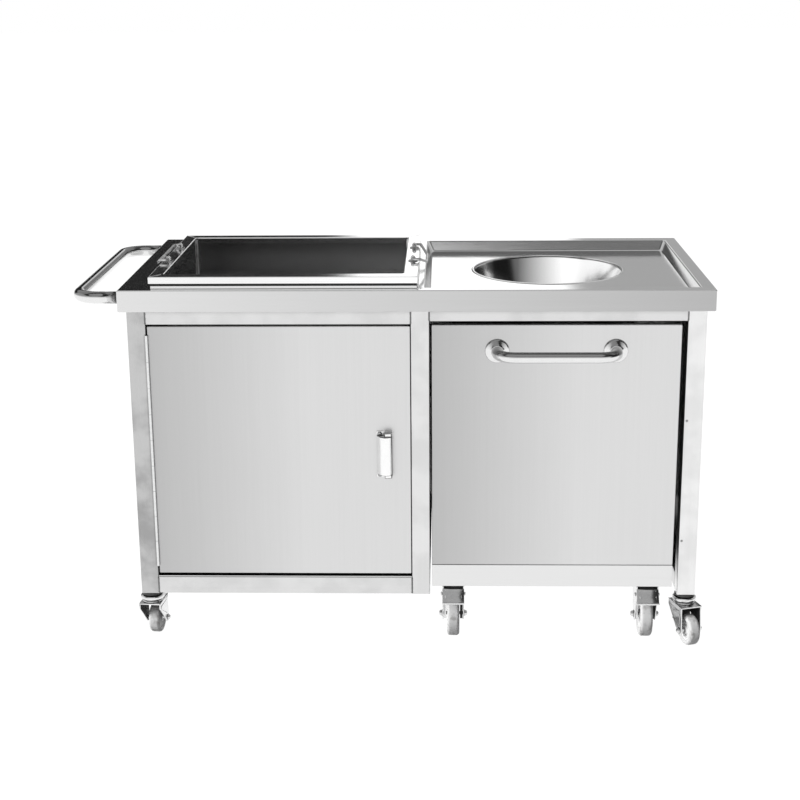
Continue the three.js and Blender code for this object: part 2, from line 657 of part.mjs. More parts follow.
TROLLEY_CASTER_X.forEach((x, i) => {
  ['front', 'back'].forEach((end) => {
    const corner = `${end}_${['left', 'right'][i]}`;
    const caster = new THREE.Group();
    caster.position.set(x, TROLLEY_CASTER_Y[end], TROLLEY_WHEEL.radius);
    add(`trolley_fork_${corner}`, fixedFork(end === 'front'), zinc, caster);
    add(`trolley_wheel_${corner}`, wheel(TROLLEY_WHEEL), wheelPlastic, caster);
    if (end === 'front') add(`brake_pedal_${corner}`, brakePedal(), zinc, caster);
    cart.add(caster);
  });
});

// ---------- origin: the middle of the whole cart's plan ----------
const group = new THREE.Group();
group.add(cart);
group.updateMatrixWorld(true);
const reach = new THREE.Box3().setFromObject(group, true);
cart.position.set(-(reach.min.x + reach.max.x) / 2, -(reach.min.y + reach.max.y) / 2, 0);

export default group;
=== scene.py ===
"""Looks of the stainless steel canteen clearing cart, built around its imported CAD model.

Lengths below are the cart's own millimetres: x from the middle of the worktop, y from the front of
its apron (backwards), z from the floor. at() turns them into the row frame's metres.
"""
import math

import bmesh
import bpy
from mathutils import Matrix, Vector


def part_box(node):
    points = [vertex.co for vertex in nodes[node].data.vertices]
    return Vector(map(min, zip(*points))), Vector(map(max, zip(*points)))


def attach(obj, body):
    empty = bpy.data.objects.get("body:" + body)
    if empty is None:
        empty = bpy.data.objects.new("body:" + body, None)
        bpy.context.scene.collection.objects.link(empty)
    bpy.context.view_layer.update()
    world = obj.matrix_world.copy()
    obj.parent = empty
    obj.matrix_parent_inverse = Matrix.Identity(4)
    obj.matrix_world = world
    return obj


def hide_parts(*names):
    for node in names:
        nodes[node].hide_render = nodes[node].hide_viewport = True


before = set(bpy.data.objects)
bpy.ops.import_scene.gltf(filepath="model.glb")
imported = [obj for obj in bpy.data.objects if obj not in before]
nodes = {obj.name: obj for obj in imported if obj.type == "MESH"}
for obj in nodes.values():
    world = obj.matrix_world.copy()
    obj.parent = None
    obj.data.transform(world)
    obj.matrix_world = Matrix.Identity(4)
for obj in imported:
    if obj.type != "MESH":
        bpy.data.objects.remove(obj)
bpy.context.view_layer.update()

# ---------- places ----------
MM = 0.001
TOP_LOW, TOP_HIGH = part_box("worktop")
MIDDLE_X = (TOP_LOW.x + TOP_HIGH.x) / 2
FRONT_Y = TOP_LOW.y


def at(x, y, z):
    """A point in cart millimetres as row metres."""
    return Vector((x * MM + MIDDLE_X, y * MM + FRONT_Y, z * MM))


def row_x(x):
    """A cart x in millimetres as the row's x in metres."""
    return at(x, 0, 0).x


def cart_box(node):
    """Lowest and highest corner of a CAD node in cart millimetres."""
    low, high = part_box(node)
    origin = Vector((MIDDLE_X, FRONT_Y, 0))
    return (low - origin) / MM, (high - origin) / MM


def new_object(name, data):
    """An object in the scene, holding a mesh, light or camera."""
    obj = bpy.data.objects.new(name, data)
    bpy.context.scene.collection.objects.link(obj)
    return obj


# ---------- camera ----------
CAMERA_AT = (60.0, -3031.9, 1394.3)
CAMERA_PITCH = 15.769  # degrees below level
CAMERA_YAW = 1.734  # towards -X
CAMERA_ROLL = -0.485  # degrees
FOCAL_PER_WIDTH = 1551 / 800
SENSOR = 36.0
CLIP_END = 200  # metres


def make_camera():
    """A camera at the photograph's viewing angle, found by fitting the cart's straight edges."""
    pitch, yaw, roll = (math.radians(a) for a in (CAMERA_PITCH, CAMERA_YAW, CAMERA_ROLL))
    forward = Vector((-math.sin(yaw) * math.cos(pitch), math.cos(yaw) * math.cos(pitch),
                      -math.sin(pitch)))
    right = Vector((math.cos(yaw), math.sin(yaw), 0))
    up = right.cross(forward)
    across = right * math.cos(roll) + up * math.sin(roll)
    upward = up * math.cos(roll) - right * math.sin(roll)
    data = bpy.data.cameras.new("camera")
    data.sensor_width = SENSOR
    data.lens = SENSOR * FOCAL_PER_WIDTH
    data.clip_end = CLIP_END
    camera = new_object("camera", data)
    camera.matrix_world = Matrix.Translation(at(*CAMERA_AT)) @ Matrix(
        (across, upward, -forward)).transposed().to_4x4()
    bpy.context.scene.camera = camera


make_camera()


# ---------- node graphs ----------
class Graph:
    """A node tree with short calls for adding and joining nodes."""

    def __init__(self, tree):
        self.tree = tree
        tree.nodes.clear()

    def add(self, kind, inputs=None, **settings):
        node = self.tree.nodes.new(kind)
        for key, value in settings.items():
            setattr(node, key, value)
        for key, value in (inputs or {}).items():
            socket = node.inputs[key]
            if isinstance(value, bpy.types.NodeSocket):
                self.tree.links.new(value, socket)
            else:
                socket.default_value = value
        return node

    def math(self, operation, a, b):
        return self.add("ShaderNodeMath", {0: a, 1: b}, operation=operation).outputs[0]

    def mix(self, factor, a, b):
        """Two numbers mixed by a factor."""
        return self.add("ShaderNodeMix", {"Factor": factor, "A": a, "B": b}).outputs[0]

    def mix_colour(self, factor, a, b):
        """Two colours mixed by a factor."""
        sockets = {0: factor, 6: a, 7: b}  # those of a colour mix
        return self.add("ShaderNodeMix", sockets, data_type="RGBA").outputs[2]

    def times(self, colour, factor):
        """A colour made brighter or darker by a factor."""
        return self.add("ShaderNodeVectorMath", {0: colour, "Scale": factor},
                        operation="SCALE").outputs[0]

    def ramp(self, value, low, high, shape="LINEAR"):
        """A straight rise from 0 to 1 as the value goes from low to high."""
        return self.add("ShaderNodeMapRange", {"Value": value, "From Min": low, "From Max": high},
                        interpolation_type=shape).outputs[0]

    def step(self, value, low, high):
        """A smooth rise from 0 to 1 as the value goes from low to high."""
        return self.ramp(value, low, high, "SMOOTHSTEP")

    def noise(self, vector, scale=1.0, detail=3.0):
        return self.add("ShaderNodeTexNoise", {"Vector": vector, "Scale": scale,
                                               "Detail": detail}).outputs[0]

    def scaled(self, vector, scales):
        return self.add("ShaderNodeVectorMath", {0: vector, 1: scales},
                        operation="MULTIPLY").outputs[0]

    def part(self, vector, axis):
        """One component of a vector: 0, 1 or 2 for x, y or z."""
        return self.add("ShaderNodeSeparateXYZ", {0: vector}).outputs[axis]

    def painted_crevice_shade(self, colour, darkest, reach):
        """Painted shade: darkens a colour where other surfaces come within reach metres."""
        open_air = self.add("ShaderNodeAmbientOcclusion", {"Distance": reach}).outputs["AO"]
        return self.times(colour, self.mix(self.ramp(open_air, 0.25, 0.95), darkest, 1.0))

    def bump(self, height, strength, distance):
        return self.add("ShaderNodeBump", {"Height": height, "Strength": strength,
                                           "Distance": distance}).outputs[0]

    def surface(self, inputs):
        """The material's shader and its output."""
        shader = self.add("ShaderNodeBsdfPrincipled", inputs)
        self.add("ShaderNodeOutputMaterial", {"Surface": shader.outputs[0]})


def grey(value, warmth=0.0):
    """A near-neutral colour, a little warmer for a positive warmth."""
    return (value * (1 + warmth), value, value * (1 - warmth), 1)


def new_material(name):
    """An empty material, its graph, and the place on the object that its textures go by."""
    material = bpy.data.materials.new(name)
    material.use_nodes = True
    g = Graph(material.node_tree)
    return material, g, g.add("ShaderNodeTexCoord").outputs["Object"]


# ---------- materials ----------
GRAIN_ACROSS = 1400.0  # grain lines to the metre, about
GRAIN_ALONG = 9.0
BAND_WIDTH = 11.0  # grain lines to a broader band of tone
TOP_HALF = 600.0  # half the worktop's width
FRONT_FADE = (0.88, 0.56)  # painted shade: brightness of the apron's front at its left and right ends


def brushed_steel(name, grain, base, roughness, spread=0.035, depth=0.05, sheen=(), cloud=0.0,
                  fade=False, below=None, seams=0.0):
    """Sheet with straight brushed grain along one axis.

    sheen holds (from, to, gain): painted sheen, slow rises in brightness across x. cloud is
    how far the tone wanders in patches, and fade is painted shade that darkens front faces
    towards the right. below is (height, gain): painted shade for the part under a height.
    seams is how near, in metres, another surface has to be for a corner to darken with
    painted shade.
    """
    material, g, place = new_material(name)
    scales = [GRAIN_ALONG if axis == grain else GRAIN_ACROSS for axis in "xyz"]
    lines = g.noise(g.scaled(place, scales), detail=4.0)
    bands = g.noise(g.scaled(place, [s / BAND_WIDTH for s in scales]), detail=2.0)
    clouds = g.noise(place, scale=3.5, detail=2.0)
    tone = g.math("ADD", g.math("MULTIPLY", lines, 0.45),
                  g.math("ADD", g.math("MULTIPLY", bands, 0.3), g.math("MULTIPLY", clouds, 0.25)))
    colour = g.mix_colour(tone, grey(base * (1 - 2 * spread)), grey(base * (1 + 2 * spread)))
    x = g.part(place, 0)
    # painted sheen: brightness rising across x
    for start, end, gain in sheen:
        colour = g.times(colour, g.mix(g.ramp(x, start, end), 1.0, gain))
    if cloud:
        patches = g.noise(place, scale=14.0, detail=3.0)
        colour = g.times(colour, g.mix(g.step(patches, 0.35, 0.65), 1 - cloud, 1 + cloud))
    # painted shade on front faces, darker towards the right
    if fade:
        normal = g.add("ShaderNodeNewGeometry").outputs["Normal"]
        facing = g.step(g.math("MULTIPLY", g.part(normal, 1), -1.0), 0.6, 0.95)
        across = g.mix(g.ramp(x, row_x(-TOP_HALF), row_x(TOP_HALF)), *FRONT_FADE)
        colour = g.times(colour, g.mix(facing, 1.0, across))
    # painted shade: darker under a height
    if below:
        height, gain = below
        colour = g.times(colour, g.mix(g.step(g.part(place, 2), height - 0.002, height), gain, 1.0))
    # painted shade near other surfaces
    if seams:
        colour = g.painted_crevice_shade(colour, 0.3, seams)
    rough = g.math("ADD", roughness - 0.05, g.math("MULTIPLY", tone, 0.1))
    g.surface({
        "Base Color": colour,
        "Metallic": 1.0,
        "Roughness": rough,
        "Normal": g.bump(lines, depth, 0.0004),
    })
    return material


def polished_steel(name, base, roughness, painted_top_shade=1.0):
    """Buffed bar: near mirror, with faint cloudy buffing marks.

    The last argument is how bright the upward side stays, as painted shade on the top. Corners near
    other surfaces darken with painted shade as well.
    """
    material, g, place = new_material(name)
    marks = g.noise(place, scale=90.0, detail=4.0)
    fine = g.noise(place, scale=900.0, detail=2.0)
    rough = g.math("ADD", roughness - 0.03, g.math("MULTIPLY", marks, 0.07))
    # painted shade near other surfaces
    colour = g.painted_crevice_shade(g.mix_colour(marks, grey(base * 0.96), grey(base * 1.04)), 0.1, 0.006)
    # painted shade on the upward side
    if painted_top_shade < 1:
        normal = g.add("ShaderNodeNewGeometry").outputs["Normal"]
        colour = g.times(colour, g.mix(g.step(g.part(normal, 2), 0.1, 0.4), 1.0, painted_top_shade))
    g.surface({
        "Base Color": colour,
        "Metallic": 1.0,
        "Roughness": rough,
        "Normal": g.bump(fine, 0.03, 0.0003),
    })
    return material


def zinc_steel(name, base=0.78, roughness=0.2, darkest=0.08, reach=0.006):
    """Bright zinc plating: mottled, with fine pitting and scuffs, and painted shade where other
    surfaces come within reach.
    """
    material, g, place = new_material(name)
    mottle = g.noise(place, scale=160.0, detail=5.0)
    scuffs = g.step(g.noise(g.scaled(place, (60, 60, 700)), detail=3.0), 0.55, 0.75)
    g.surface({
        "Base Color": g.painted_crevice_shade(g.mix_colour(mottle, grey(base * 0.85, -0.01),
                                              grey(base * 1.12, 0.005)), darkest, reach),
        "Metallic": 1.0,
        "Roughness": g.math("ADD", roughness, g.math("MULTIPLY", scuffs, 0.18)),
        "Normal": g.bump(mottle, 0.12, 0.0005),
    })
    return material


def rubber(name, base, scuff, roughness=0.5):
    """Moulded rubber or plastic with speckle and worn patches."""
    material, g, place = new_material(name)
    speckle = g.noise(place, scale=1500.0, detail=2.0)
    patches = g.step(g.noise(place, scale=70.0, detail=5.0), 0.48, 0.7)
    g.surface({
        "Base Color": g.mix_colour(patches, grey(base), grey(scuff, 0.01)),
        "Roughness": g.math("ADD", roughness, g.math("MULTIPLY", patches, 0.2)),
        "Normal": g.bump(speckle, 0.2, 0.0003),
    })
    return material


# Painted sheen and painted reflection: slow changes of brightness across x, as from, to and gain.
# door and trolley fronts: painted sheen, brighter towards the right
DOOR_SHEEN = [(row_x(-544), row_x(-225), 1.38)]
TROLLEY_SHEEN = [(row_x(32), row_x(335), 1.42)]
# funnel: painted reflection, bright at its right wall and its far left
FUNNEL_SHEEN = [(row_x(225), row_x(330), 7.5), (row_x(172), row_x(150), 7.5)]
# tub: painted light, a little brighter towards the right
TUB_SHEEN = [(row_x(-350), row_x(-40), 1.13)]
TUB_PAINTED_SHADE = (0.777, 0.65)  # painted shade: the tub's walls are darker below this height in metres

MATERIALS = {
    # worktop: painted shade on its front faces towards the right and near other surfaces
    "top": brushed_steel("worktop sheet", "x", 0.8, 0.1, fade=True, seams=0.008),
    "sheet_x": brushed_steel("brushed sheet, grain along x", "x", 0.74, 0.2),
    "sheet_z": brushed_steel("brushed sheet, upright grain", "z", 0.62, 0.22),
    # painted sheen on the door and trolley; the funnel's dark tone is painted shade under its
    # painted reflection
    "door": brushed_steel("door sheet", "z", 0.49, 0.38, sheen=DOOR_SHEEN),
    "trolley": brushed_steel("trolley sheet", "z", 0.48, 0.38, sheen=TROLLEY_SHEEN),
    "funnel": brushed_steel("spun funnel", "z", 0.13, 0.16, sheen=FUNNEL_SHEEN),
    # frame tubes: painted shade near other surfaces; the two front legs have lit and shaded copies,
    # painted light and painted shade
    "tube_z": brushed_steel("frame tube, upright grain", "z", 0.7, 0.24, cloud=0.05,
                            seams=0.006),
    "tube_painted_lit": brushed_steel("well lit frame tube", "z", 0.77, 0.24, cloud=0.05,
                                 seams=0.006),
    "tube_painted_shade": brushed_steel("shaded frame tube", "z", 0.44, 0.26, cloud=0.2, seams=0.006),
    "tube_x": brushed_steel("frame tube, grain along x", "x", 0.66, 0.24, cloud=0.05,
                            seams=0.012),
    "tube_y": brushed_steel("frame tube, grain along y", "y", 0.62, 0.24, cloud=0.05),
    # tub: painted shade below the rim, painted light towards the right
    "tub": brushed_steel("tub sheet", "x", 0.84, 0.12, below=TUB_PAINTED_SHADE, sheen=TUB_SHEEN),
    # bars: painted shade on their tops
    "bar": polished_steel("handled bar", 0.78, 0.13, painted_top_shade=0.32),
    "polished": polished_steel("polished bar", 0.72, 0.13, painted_top_shade=0.6),
    "pull": polished_steel("satin pull", 0.92, 0.25),
    "weld": zinc_steel("cleaned weld", 0.2, 0.35),
    # pale matt weld: a painted highlight line in the tub's back corners
    "bead": rubber("ground weld painted as a highlight", 0.7, 0.5, 0.3),
    "screw": zinc_steel("screw heads", 0.3, 0.35),
    "pedal": zinc_steel("pedal plating", 0.4, 0.16, darkest=0.1),
    "zinc": zinc_steel("zinc plated steel"),
    "tyre": rubber("light grey tyre", 0.6, 0.36),
    "hub": rubber("pale wheel hub", 0.75, 0.6, 0.38),
    # near black: painted shade inside forks, behind the brake and under the tub's rim
    "painted_shade_black": rubber("near black painted shade", 0.008, 0.02, 0.6),
    "plastic": rubber("dark moulded plastic", 0.035, 0.06, 0.55),
}


# ---------- CAD nodes ----------
def ease_edges(obj, width, segments, from_degrees):
    """Bevels the edges that turn by more than an angle; width is in millimetres."""
    ease = obj.modifiers.new("eased edges", "BEVEL")
    ease.width = width * MM
    ease.segments = segments
    ease.limit_method = "ANGLE"
    ease.angle_limit = math.radians(from_degrees)


def even_normals(obj):
    """Smooth shading that keeps flat faces flat."""
    obj.modifiers.new("normals", "WEIGHTED_NORMAL").keep_sharp = True


def dress(name, material, edge):
    """Gives a CAD node its finish, with its sharp edges eased by edge millimetres."""
    obj = nodes[name]
    obj.data.materials.clear()
    obj.data.materials.append(material)
    obj.data.polygons.foreach_set("use_smooth", [True] * len(obj.data.polygons))
    obj.modifiers.new("weld", "WELD").merge_threshold = 1e-6
    merge = obj.modifiers.new("whole faces", "DECIMATE")
    merge.decimate_type = "DISSOLVE"
    merge.angle_limit = math.radians(0.5)
    ease_edges(obj, edge, segments=2, from_degrees=32)
    even_normals(obj)


# Finishes of the CAD nodes by how their names begin, the first that fits: key and eased edge in
# millimetres.
NODE_LOOKS = (
    ("worktop", "sheet_x", 1.0),
    ("chute_collar", "sheet_z", 0.4),
    ("tub", "tub", 0.7),
    ("door_panel", "sheet_z", 0.7),
    ("door_catch", "plastic", 1.0),
    ("trolley_front", "sheet_z", 0.7),
    ("trolley_tray", "sheet_x", 0.8),
    ("waste_bin", "plastic", 0.8),
    ("back_panel", "sheet_x", 0.6),
    ("side_panel", "sheet_z", 0.6),
    ("divider_panel", "sheet_z", 0.6),
    ("cupboard_floor", "sheet_x", 0.6),
    ("rail_bottom_left", "tube_y", 0.4),
    ("rail_bottom_right", "tube_y", 0.4),
    ("rail_bottom_middle", "tube_y", 0.4),
    ("rail_", "tube_x", 0.4),
    # front legs: painted shade on the left one, painted light on the right one
    ("leg_front_left", "tube_painted_shade", 0.4),
    ("leg_front_right", "tube_painted_lit", 0.4),
    (("leg_", "post_"), "tube_z", 0.4),
    (("bail", "push_handle", "trolley_handle", "door_handle"), "polished", 0.5),
    (("caster_wheel", "trolley_wheel"), "tyre", 0.8),
    ("", "zinc", 0.5),
)


def dress_all():
    """Gives every CAD node its finish."""
    for name in nodes:
        key, edge = next((key, edge) for start, key, edge in NODE_LOOKS if name.startswith(start))
        dress(name, MATERIALS[key], edge)


dress_all()


# ---------- mesh tools ----------
def circle(radius, sides, z=0.0):
    """A ring of points about the z axis."""
    return [Vector((radius * math.cos(a), radius * math.sin(a), z))
            for a in (2 * math.pi * i / sides for i in range(sides))]


def rounded_rect(x0, x1, y0, y1, radius, z, steps=5):
    """A rectangle with rounded corners as a ring of points at height z."""
    radius = max(radius, 0.05)
    ring = []
    for cx, cy, start in ((x1 - radius, y0 + radius, -90), (x1 - radius, y1 - radius, 0),
                          (x0 + radius, y1 - radius, 90), (x0 + radius, y0 + radius, 180)):
        for i in range(steps + 1):
            angle = math.radians(start + 90 * i / steps)
            ring.append(Vector((cx + radius * math.cos(angle), cy + radius * math.sin(angle), z)))
    return ring


def inset_ring(box, inset, z, radius):
    """A rounded rectangle inside a box of (x from, x to, y from, y to)."""
    x0, x1, y0, y1 = box
    return rounded_rect(x0 + inset, x1 - inset, y0 + inset, y1 - inset, radius, z)


def slab(x0, x1, y0, y1):
    """The outline of a rectangle."""
    return [(x0, y0), (x1, y0), (x1, y1), (x0, y1)]


def bend(centre, radius, start, end, steps=4):
    """Points (across, height) of an arc, its angles in degrees."""
    return [(centre[0] + radius * math.cos(a), centre[1] + radius * math.sin(a))
            for a in (math.radians(start + (end - start) * i / steps) for i in range(steps + 1))]


def rounded_route(points, radius, steps=10):
    """A polyline with each inner corner turned into an arc of the given radius."""
    points = [Vector(p) for p in points]
    route = [points[0]]
    for before, corner, after in zip(points, points[1:], points[2:]):
        a, b = (before - corner).normalized(), (after - corner).normalized()
        half = a.angle(b) / 2
        setback = radius / math.tan(half)
        centre = corner + (a + b).normalized() * radius / math.sin(half)
        start, end = corner + a * setback - centre, corner + b * setback - centre
        sweep = start.angle(end)
        for i in range(steps + 1):
            t = i / steps
            route.append(centre + (start * math.sin((1 - t) * sweep)
                                   + end * math.sin(t * sweep)) / math.sin(sweep))
    route.append(points[-1])
    return route


class Build:
    """One mesh in cart millimetres, made of several closed or open shapes."""

    def __init__(self, place=Matrix.Identity(4)):
        self.bm = bmesh.new()
        self.place = place

    def ring(self, points, turn=Matrix.Identity(4)):
        """New vertices at the points."""
        return [self.bm.verts.new(self.place @ turn @ p) for p in points]

    def skin(self, rings, turn=Matrix.Identity(4), closed=False, caps=(False, False)):
        """Quads between rings of equal length; closed joins the last ring to the first."""
        made = [self.ring(points, turn) for points in rings]
        pairs = list(zip(made, made[1:])) + ([(made[-1], made[0])] if closed else [])
        count = len(made[0])
        for low, high in pairs:
            for i in range(count):
                j = (i + 1) % count
                self.bm.faces.new((low[i], low[j], high[j], high[i]))
        for cap, ring in zip(caps, (made[0], made[-1])):
            if cap:
                self.bm.faces.new(ring)
        return made

    def lathe(self, profile, turn=Matrix.Identity(4), sides=40):
        """A [radius, height] profile turned about z; ends off the axis are left open."""
        loop = profile[0] == profile[-1]
        rings = [circle(radius, sides, z) for radius, z in profile[:-1 if loop else None]
                 if radius > 0]
        return self.skin(rings, turn, closed=loop, caps=(profile[0][0] == 0, profile[-1][0] == 0))

    def tube(self, route, radius, sides=20, swell=None):
        """A capped round bar along a route; swell(i) scales its radius point by point."""
        route = [Vector(p) for p in route]
        ways = [(b - a).normalized() for a, b in zip(route, route[1:])]
        tangents = [ways[0]] + [(a + b).normalized() for a, b in zip(ways, ways[1:])] + [ways[-1]]
        side = tangents[0].orthogonal().normalized()
        rings = []
        for i, (point, along) in enumerate(zip(route, tangents)):
            side = (side - along * side.dot(along)).normalized()
            other = along.cross(side)
            r = radius * (swell(i) if swell else 1)
            rings.append([point + side * p.x * r + other * p.y * r for p in circle(1, sides)])
        self.skin(rings, caps=(True, True))

    def plate(self, outline, low, high, turn=Matrix.Identity(4)):
        """A flat plate: an outline of (x, y) points thickened along z."""
        rings = [[Vector((x, y, z)) for x, y in outline] for z in (low, high)]
        self.skin(rings, turn, caps=(True, True))

    def finish(self, name, body, slot, finish, replaces=(), edge=0.0, sheet=0.0):
        """Makes the piece and puts it on its body; returns its object.

        finish is a key in MATERIALS. edge eases sharp edges, and sheet thickens a skin.
        """
        bmesh.ops.remove_doubles(self.bm, verts=self.bm.verts, dist=0.001)
        bmesh.ops.recalc_face_normals(self.bm, faces=self.bm.faces)
        bmesh.ops.scale(self.bm, vec=(MM, MM, MM), verts=self.bm.verts)
        bmesh.ops.translate(self.bm, vec=(MIDDLE_X, FRONT_Y, 0), verts=self.bm.verts)
        mesh = bpy.data.meshes.new(name)
        self.bm.to_mesh(mesh)
        self.bm.free()
        mesh.materials.append(MATERIALS[finish])
        mesh.polygons.foreach_set("use_smooth", [True] * len(mesh.polygons))
        obj = new_object(name, mesh)
        if sheet:
            thick = obj.modifiers.new("sheet", "SOLIDIFY")
            thick.thickness = sheet * MM
            thick.offset = -1
        if edge:
            ease_edges(obj, edge, segments=3, from_degrees=35)
        even_normals(obj)
        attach(obj, body)
        if replaces:
            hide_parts(*replaces)
        return obj


ALONG_X = Matrix.Rotation(math.pi / 2, 4, "Y")  # turns z onto x
ALONG_Y = Matrix.Rotation(-math.pi / 2, 4, "X")  # turns z onto y
TOWARDS_FRONT = Matrix.Rotation(math.pi / 2, 4, "X")  # turns z onto -y
ACROSS_X = Matrix(((0, 0, 1, 0), (1, 0, 0, 0), (0, 1, 0, 0), (0, 0, 0, 1)))  # (x, y) to (y, z)
SIDES = {"left": -1, "right": 1}


def move(x, y, z):
    """A shift in cart millimetres."""
    return Matrix.Translation((x, y, z))


def outwards(side):
    """Turns z onto x, towards the left (-1) or the right (1)."""
    return Matrix.Diagonal((side, 1, 1, 1)) @ ALONG_X


# ---------- worktop ----------
# Boxes on plan are (x from, x to, y from, y to).
SHEET = 1.5
HEM = 10.0  # the apron's hidden return
EDGE_ROUND = 3.0
CORNER_ROUND = 2.5
TOP_HEIGHT = 765.0
UPSTAND = (-515.0, -19.0, 41.0, 481.0)
UPSTAND_ROUND = 4.0
FIELD = (19.0, 571.0, 26.0, 567.0)
FIELD_DEPTH = 20.0
FIELD_FLOOR = TOP_HEIGHT - FIELD_DEPTH
FIELD_SLOPE = (10.0, 10.0, 10.0, 21.0)  # how far the left, right, front and back slopes run
FIELD_BEND = 2.5
FIELD_CORNER = 7.0
LIP = {"width": 6.0, "rise": 1.2, "inwards": 3.5}
CHUTE_SIDES = 96
FUNNEL_BASE = 128.0
FUNNEL_BEAD = 1.6


def flat_fill(build, rings):
    """Fills the flat region between closed rings of vertices."""
    edges = []
    for ring in rings:
        for a, b in zip(ring, ring[1:] + ring[:1]):
            edges.append(build.bm.edges.get((a, b)) or build.bm.edges.new((a, b)))
    bmesh.ops.triangle_fill(build.bm, edges=edges, use_beauty=True)


def field_ring(share, z, radius, grow=0.0):
    """The sunk field's outline, a share of the way down its slopes."""
    left, right, front, back = (share * run - grow for run in FIELD_SLOPE)
    x0, x1, y0, y1 = FIELD
    return rounded_rect(x0 + left, x1 - right, y0 + front, y1 - back, radius, z)


def chute():
    """The chute's place on plan, the radius of its mouth, and its lowest height."""
    low, high = cart_box("chute_collar")
    middle = (low + high) / 2
    return move(middle.x, middle.y, 0), (high.x - low.x) / 2 - SHEET - LIP["inwards"], low.z


def worktop():
    """The folded sheet: apron, upstand round the tub, sunk field and the chute's rolled lip."""
    low, high = cart_box("worktop")
    place, mouth, _ = chute()
    b = Build()
    r = EDGE_ROUND
    profile = [(HEM, low.z), *bend((r, low.z + r), r, -90, -180),
               *bend((r, TOP_HEIGHT - r), r, 180, 90)]
    apron = b.skin([inset_ring((low.x, high.x, low.y, high.y), inset, z,
                               CORNER_ROUND + max(0, r - inset) * 0.3) for inset, z in profile])
    upstand = b.skin([inset_ring(UPSTAND, inset, z, UPSTAND_ROUND) for inset, z in (
        (-2, TOP_HEIGHT), (-0.6, TOP_HEIGHT + 0.6), (0, TOP_HEIGHT + 2), (0, high.z - 1),
        (0.7, high.z), (SHEET, high.z - 0.2))])
    wall = b.skin([field_ring(0, TOP_HEIGHT, FIELD_CORNER, FIELD_BEND),
                   field_ring(0, TOP_HEIGHT - 0.5, FIELD_CORNER, 0.8),
                   field_ring(0.08, TOP_HEIGHT - 2.0, FIELD_CORNER),
                   field_ring(0.92, FIELD_FLOOR + 2.0, FIELD_CORNER),
                   field_ring(1, FIELD_FLOOR + 0.5, FIELD_CORNER, -0.8),
                   field_ring(1, FIELD_FLOOR, FIELD_CORNER - 1, -FIELD_BEND)])
    width, rise = LIP["width"], LIP["rise"]
    lip = b.skin([circle(mouth + out, CHUTE_SIDES, FIELD_FLOOR + up) for out, up in (
        (width, 0.0), (width - 0.8, 0.5), (width - 1.6, rise), (1.6, rise + 0.4),
        (0.5, rise - 0.2), (0, rise - 1.4), (0, -2.0))], place)
    flat_fill(b, [apron[-1], upstand[0], wall[0]])
    flat_fill(b, [wall[-1], lip[0]])
    b.finish("worktop_sheet", "frame", "brushed_sheet", "top", ["worktop"], sheet=SHEET)


# Under the front of the tub's rim, a raised bead and a near-black strip that paints the shadow
# there: front face, lowest and highest point above the worktop, looks.
RIM_STRIPS = {
    "rim_rest": (16.0, 0.2, 6.2, "brushed_sheet", "sheet_x"),
    "rim_painted_shadow": (15.5, 6.4, 10.8, "dark_plastic", "painted_shade_black"),
}
RIM_STRIP_DEPTH = 3.0


def rim_strips():
    """A raised bead under the front of the tub's rim, and a near-black strip on it as painted
    shadow.
    """
    low, high = cart_box("tub")
    for name, (front, foot, head, slot, finish) in RIM_STRIPS.items():
        b = Build()
        b.plate(slab(low.x + 4, high.x - 2, front, front + RIM_STRIP_DEPTH),
                TOP_HEIGHT + foot, TOP_HEIGHT + head)
        b.finish(name, "frame", slot, finish, edge=0.8)


def funnel():
    """The funnel under the mouth, with a rolled lower edge."""
    place, mouth, foot = chute()
    start = FIELD_FLOOR - 2.3
    b = Build(place)
    b.lathe([(mouth, start), (mouth - 0.6, start - 1.7), (FUNNEL_BASE + 0.6, foot + 2),
             *bend((FUNNEL_BASE + FUNNEL_BEAD, foot + FUNNEL_BEAD), FUNNEL_BEAD, 180, 360),
             (mouth + SHEET, start), (mouth, start)], sides=CHUTE_SIDES)
    b.finish("chute_funnel", "frame", "brushed_sheet", "funnel", ["chute_collar"])


# ---------- tub ----------
TUB_BOWL = (-510.0, -24.0, 46.0, 476.0)
TUB_WALL = 1.5
TUB_CORNER = 7.0
TUB_FACE = 13.5  # height of the rim's folded face
TUB_FOOT_ROUND = 14.0  # between walls and floor
RIM_CORNER = 1.5
RIM_ROUND = 2.0


def tub():
    """The tub with its folded rim: an inner and an outer skin."""
    low, high = cart_box("tub")
    rim = (low.x, high.x, low.y, high.y)
    top, hem, floor = high.z, high.z - TUB_FACE, low.z
    under = top - TUB_WALL
    wall, r, deep = TUB_WALL, RIM_ROUND, TUB_FOOT_ROUND
    b = Build()
    rings = [inset_ring(rim, inset, z, RIM_CORNER)
             for inset, z in ((wall, hem), (0, hem), (0, top - r), (0.6, top - 0.6), (r, top))]
    rings += [inset_ring(TUB_BOWL, inset, z, TUB_CORNER)
              for inset, z in ((-r, top), (-0.6, top - 0.6), (0, top - r),
                               *bend((deep, floor + wall + deep), deep, 180, 270))]
    inner = b.skin(rings)
    flat_fill(b, [inner[-1]])
    rings = [inset_ring(rim, inset, z, RIM_CORNER)
             for inset, z in ((wall, hem), (wall, under - 0.5), (wall + 1, under))]
    rings += [inset_ring(TUB_BOWL, inset, z, TUB_CORNER)
              for inset, z in ((-wall - 1, under), (-wall, under - 1))]
    rings += [inset_ring(TUB_BOWL, inset, z, TUB_CORNER + wall)
              for inset, z in bend((deep, floor + deep + wall), deep + wall, 180, 270)]
    outer = b.skin(rings)
    flat_fill(b, [outer[-1]])
    b.finish("tub_sheet", "tub", "brushed_sheet", "tub", ["tub"])
    tub_seams(rim, top, floor)


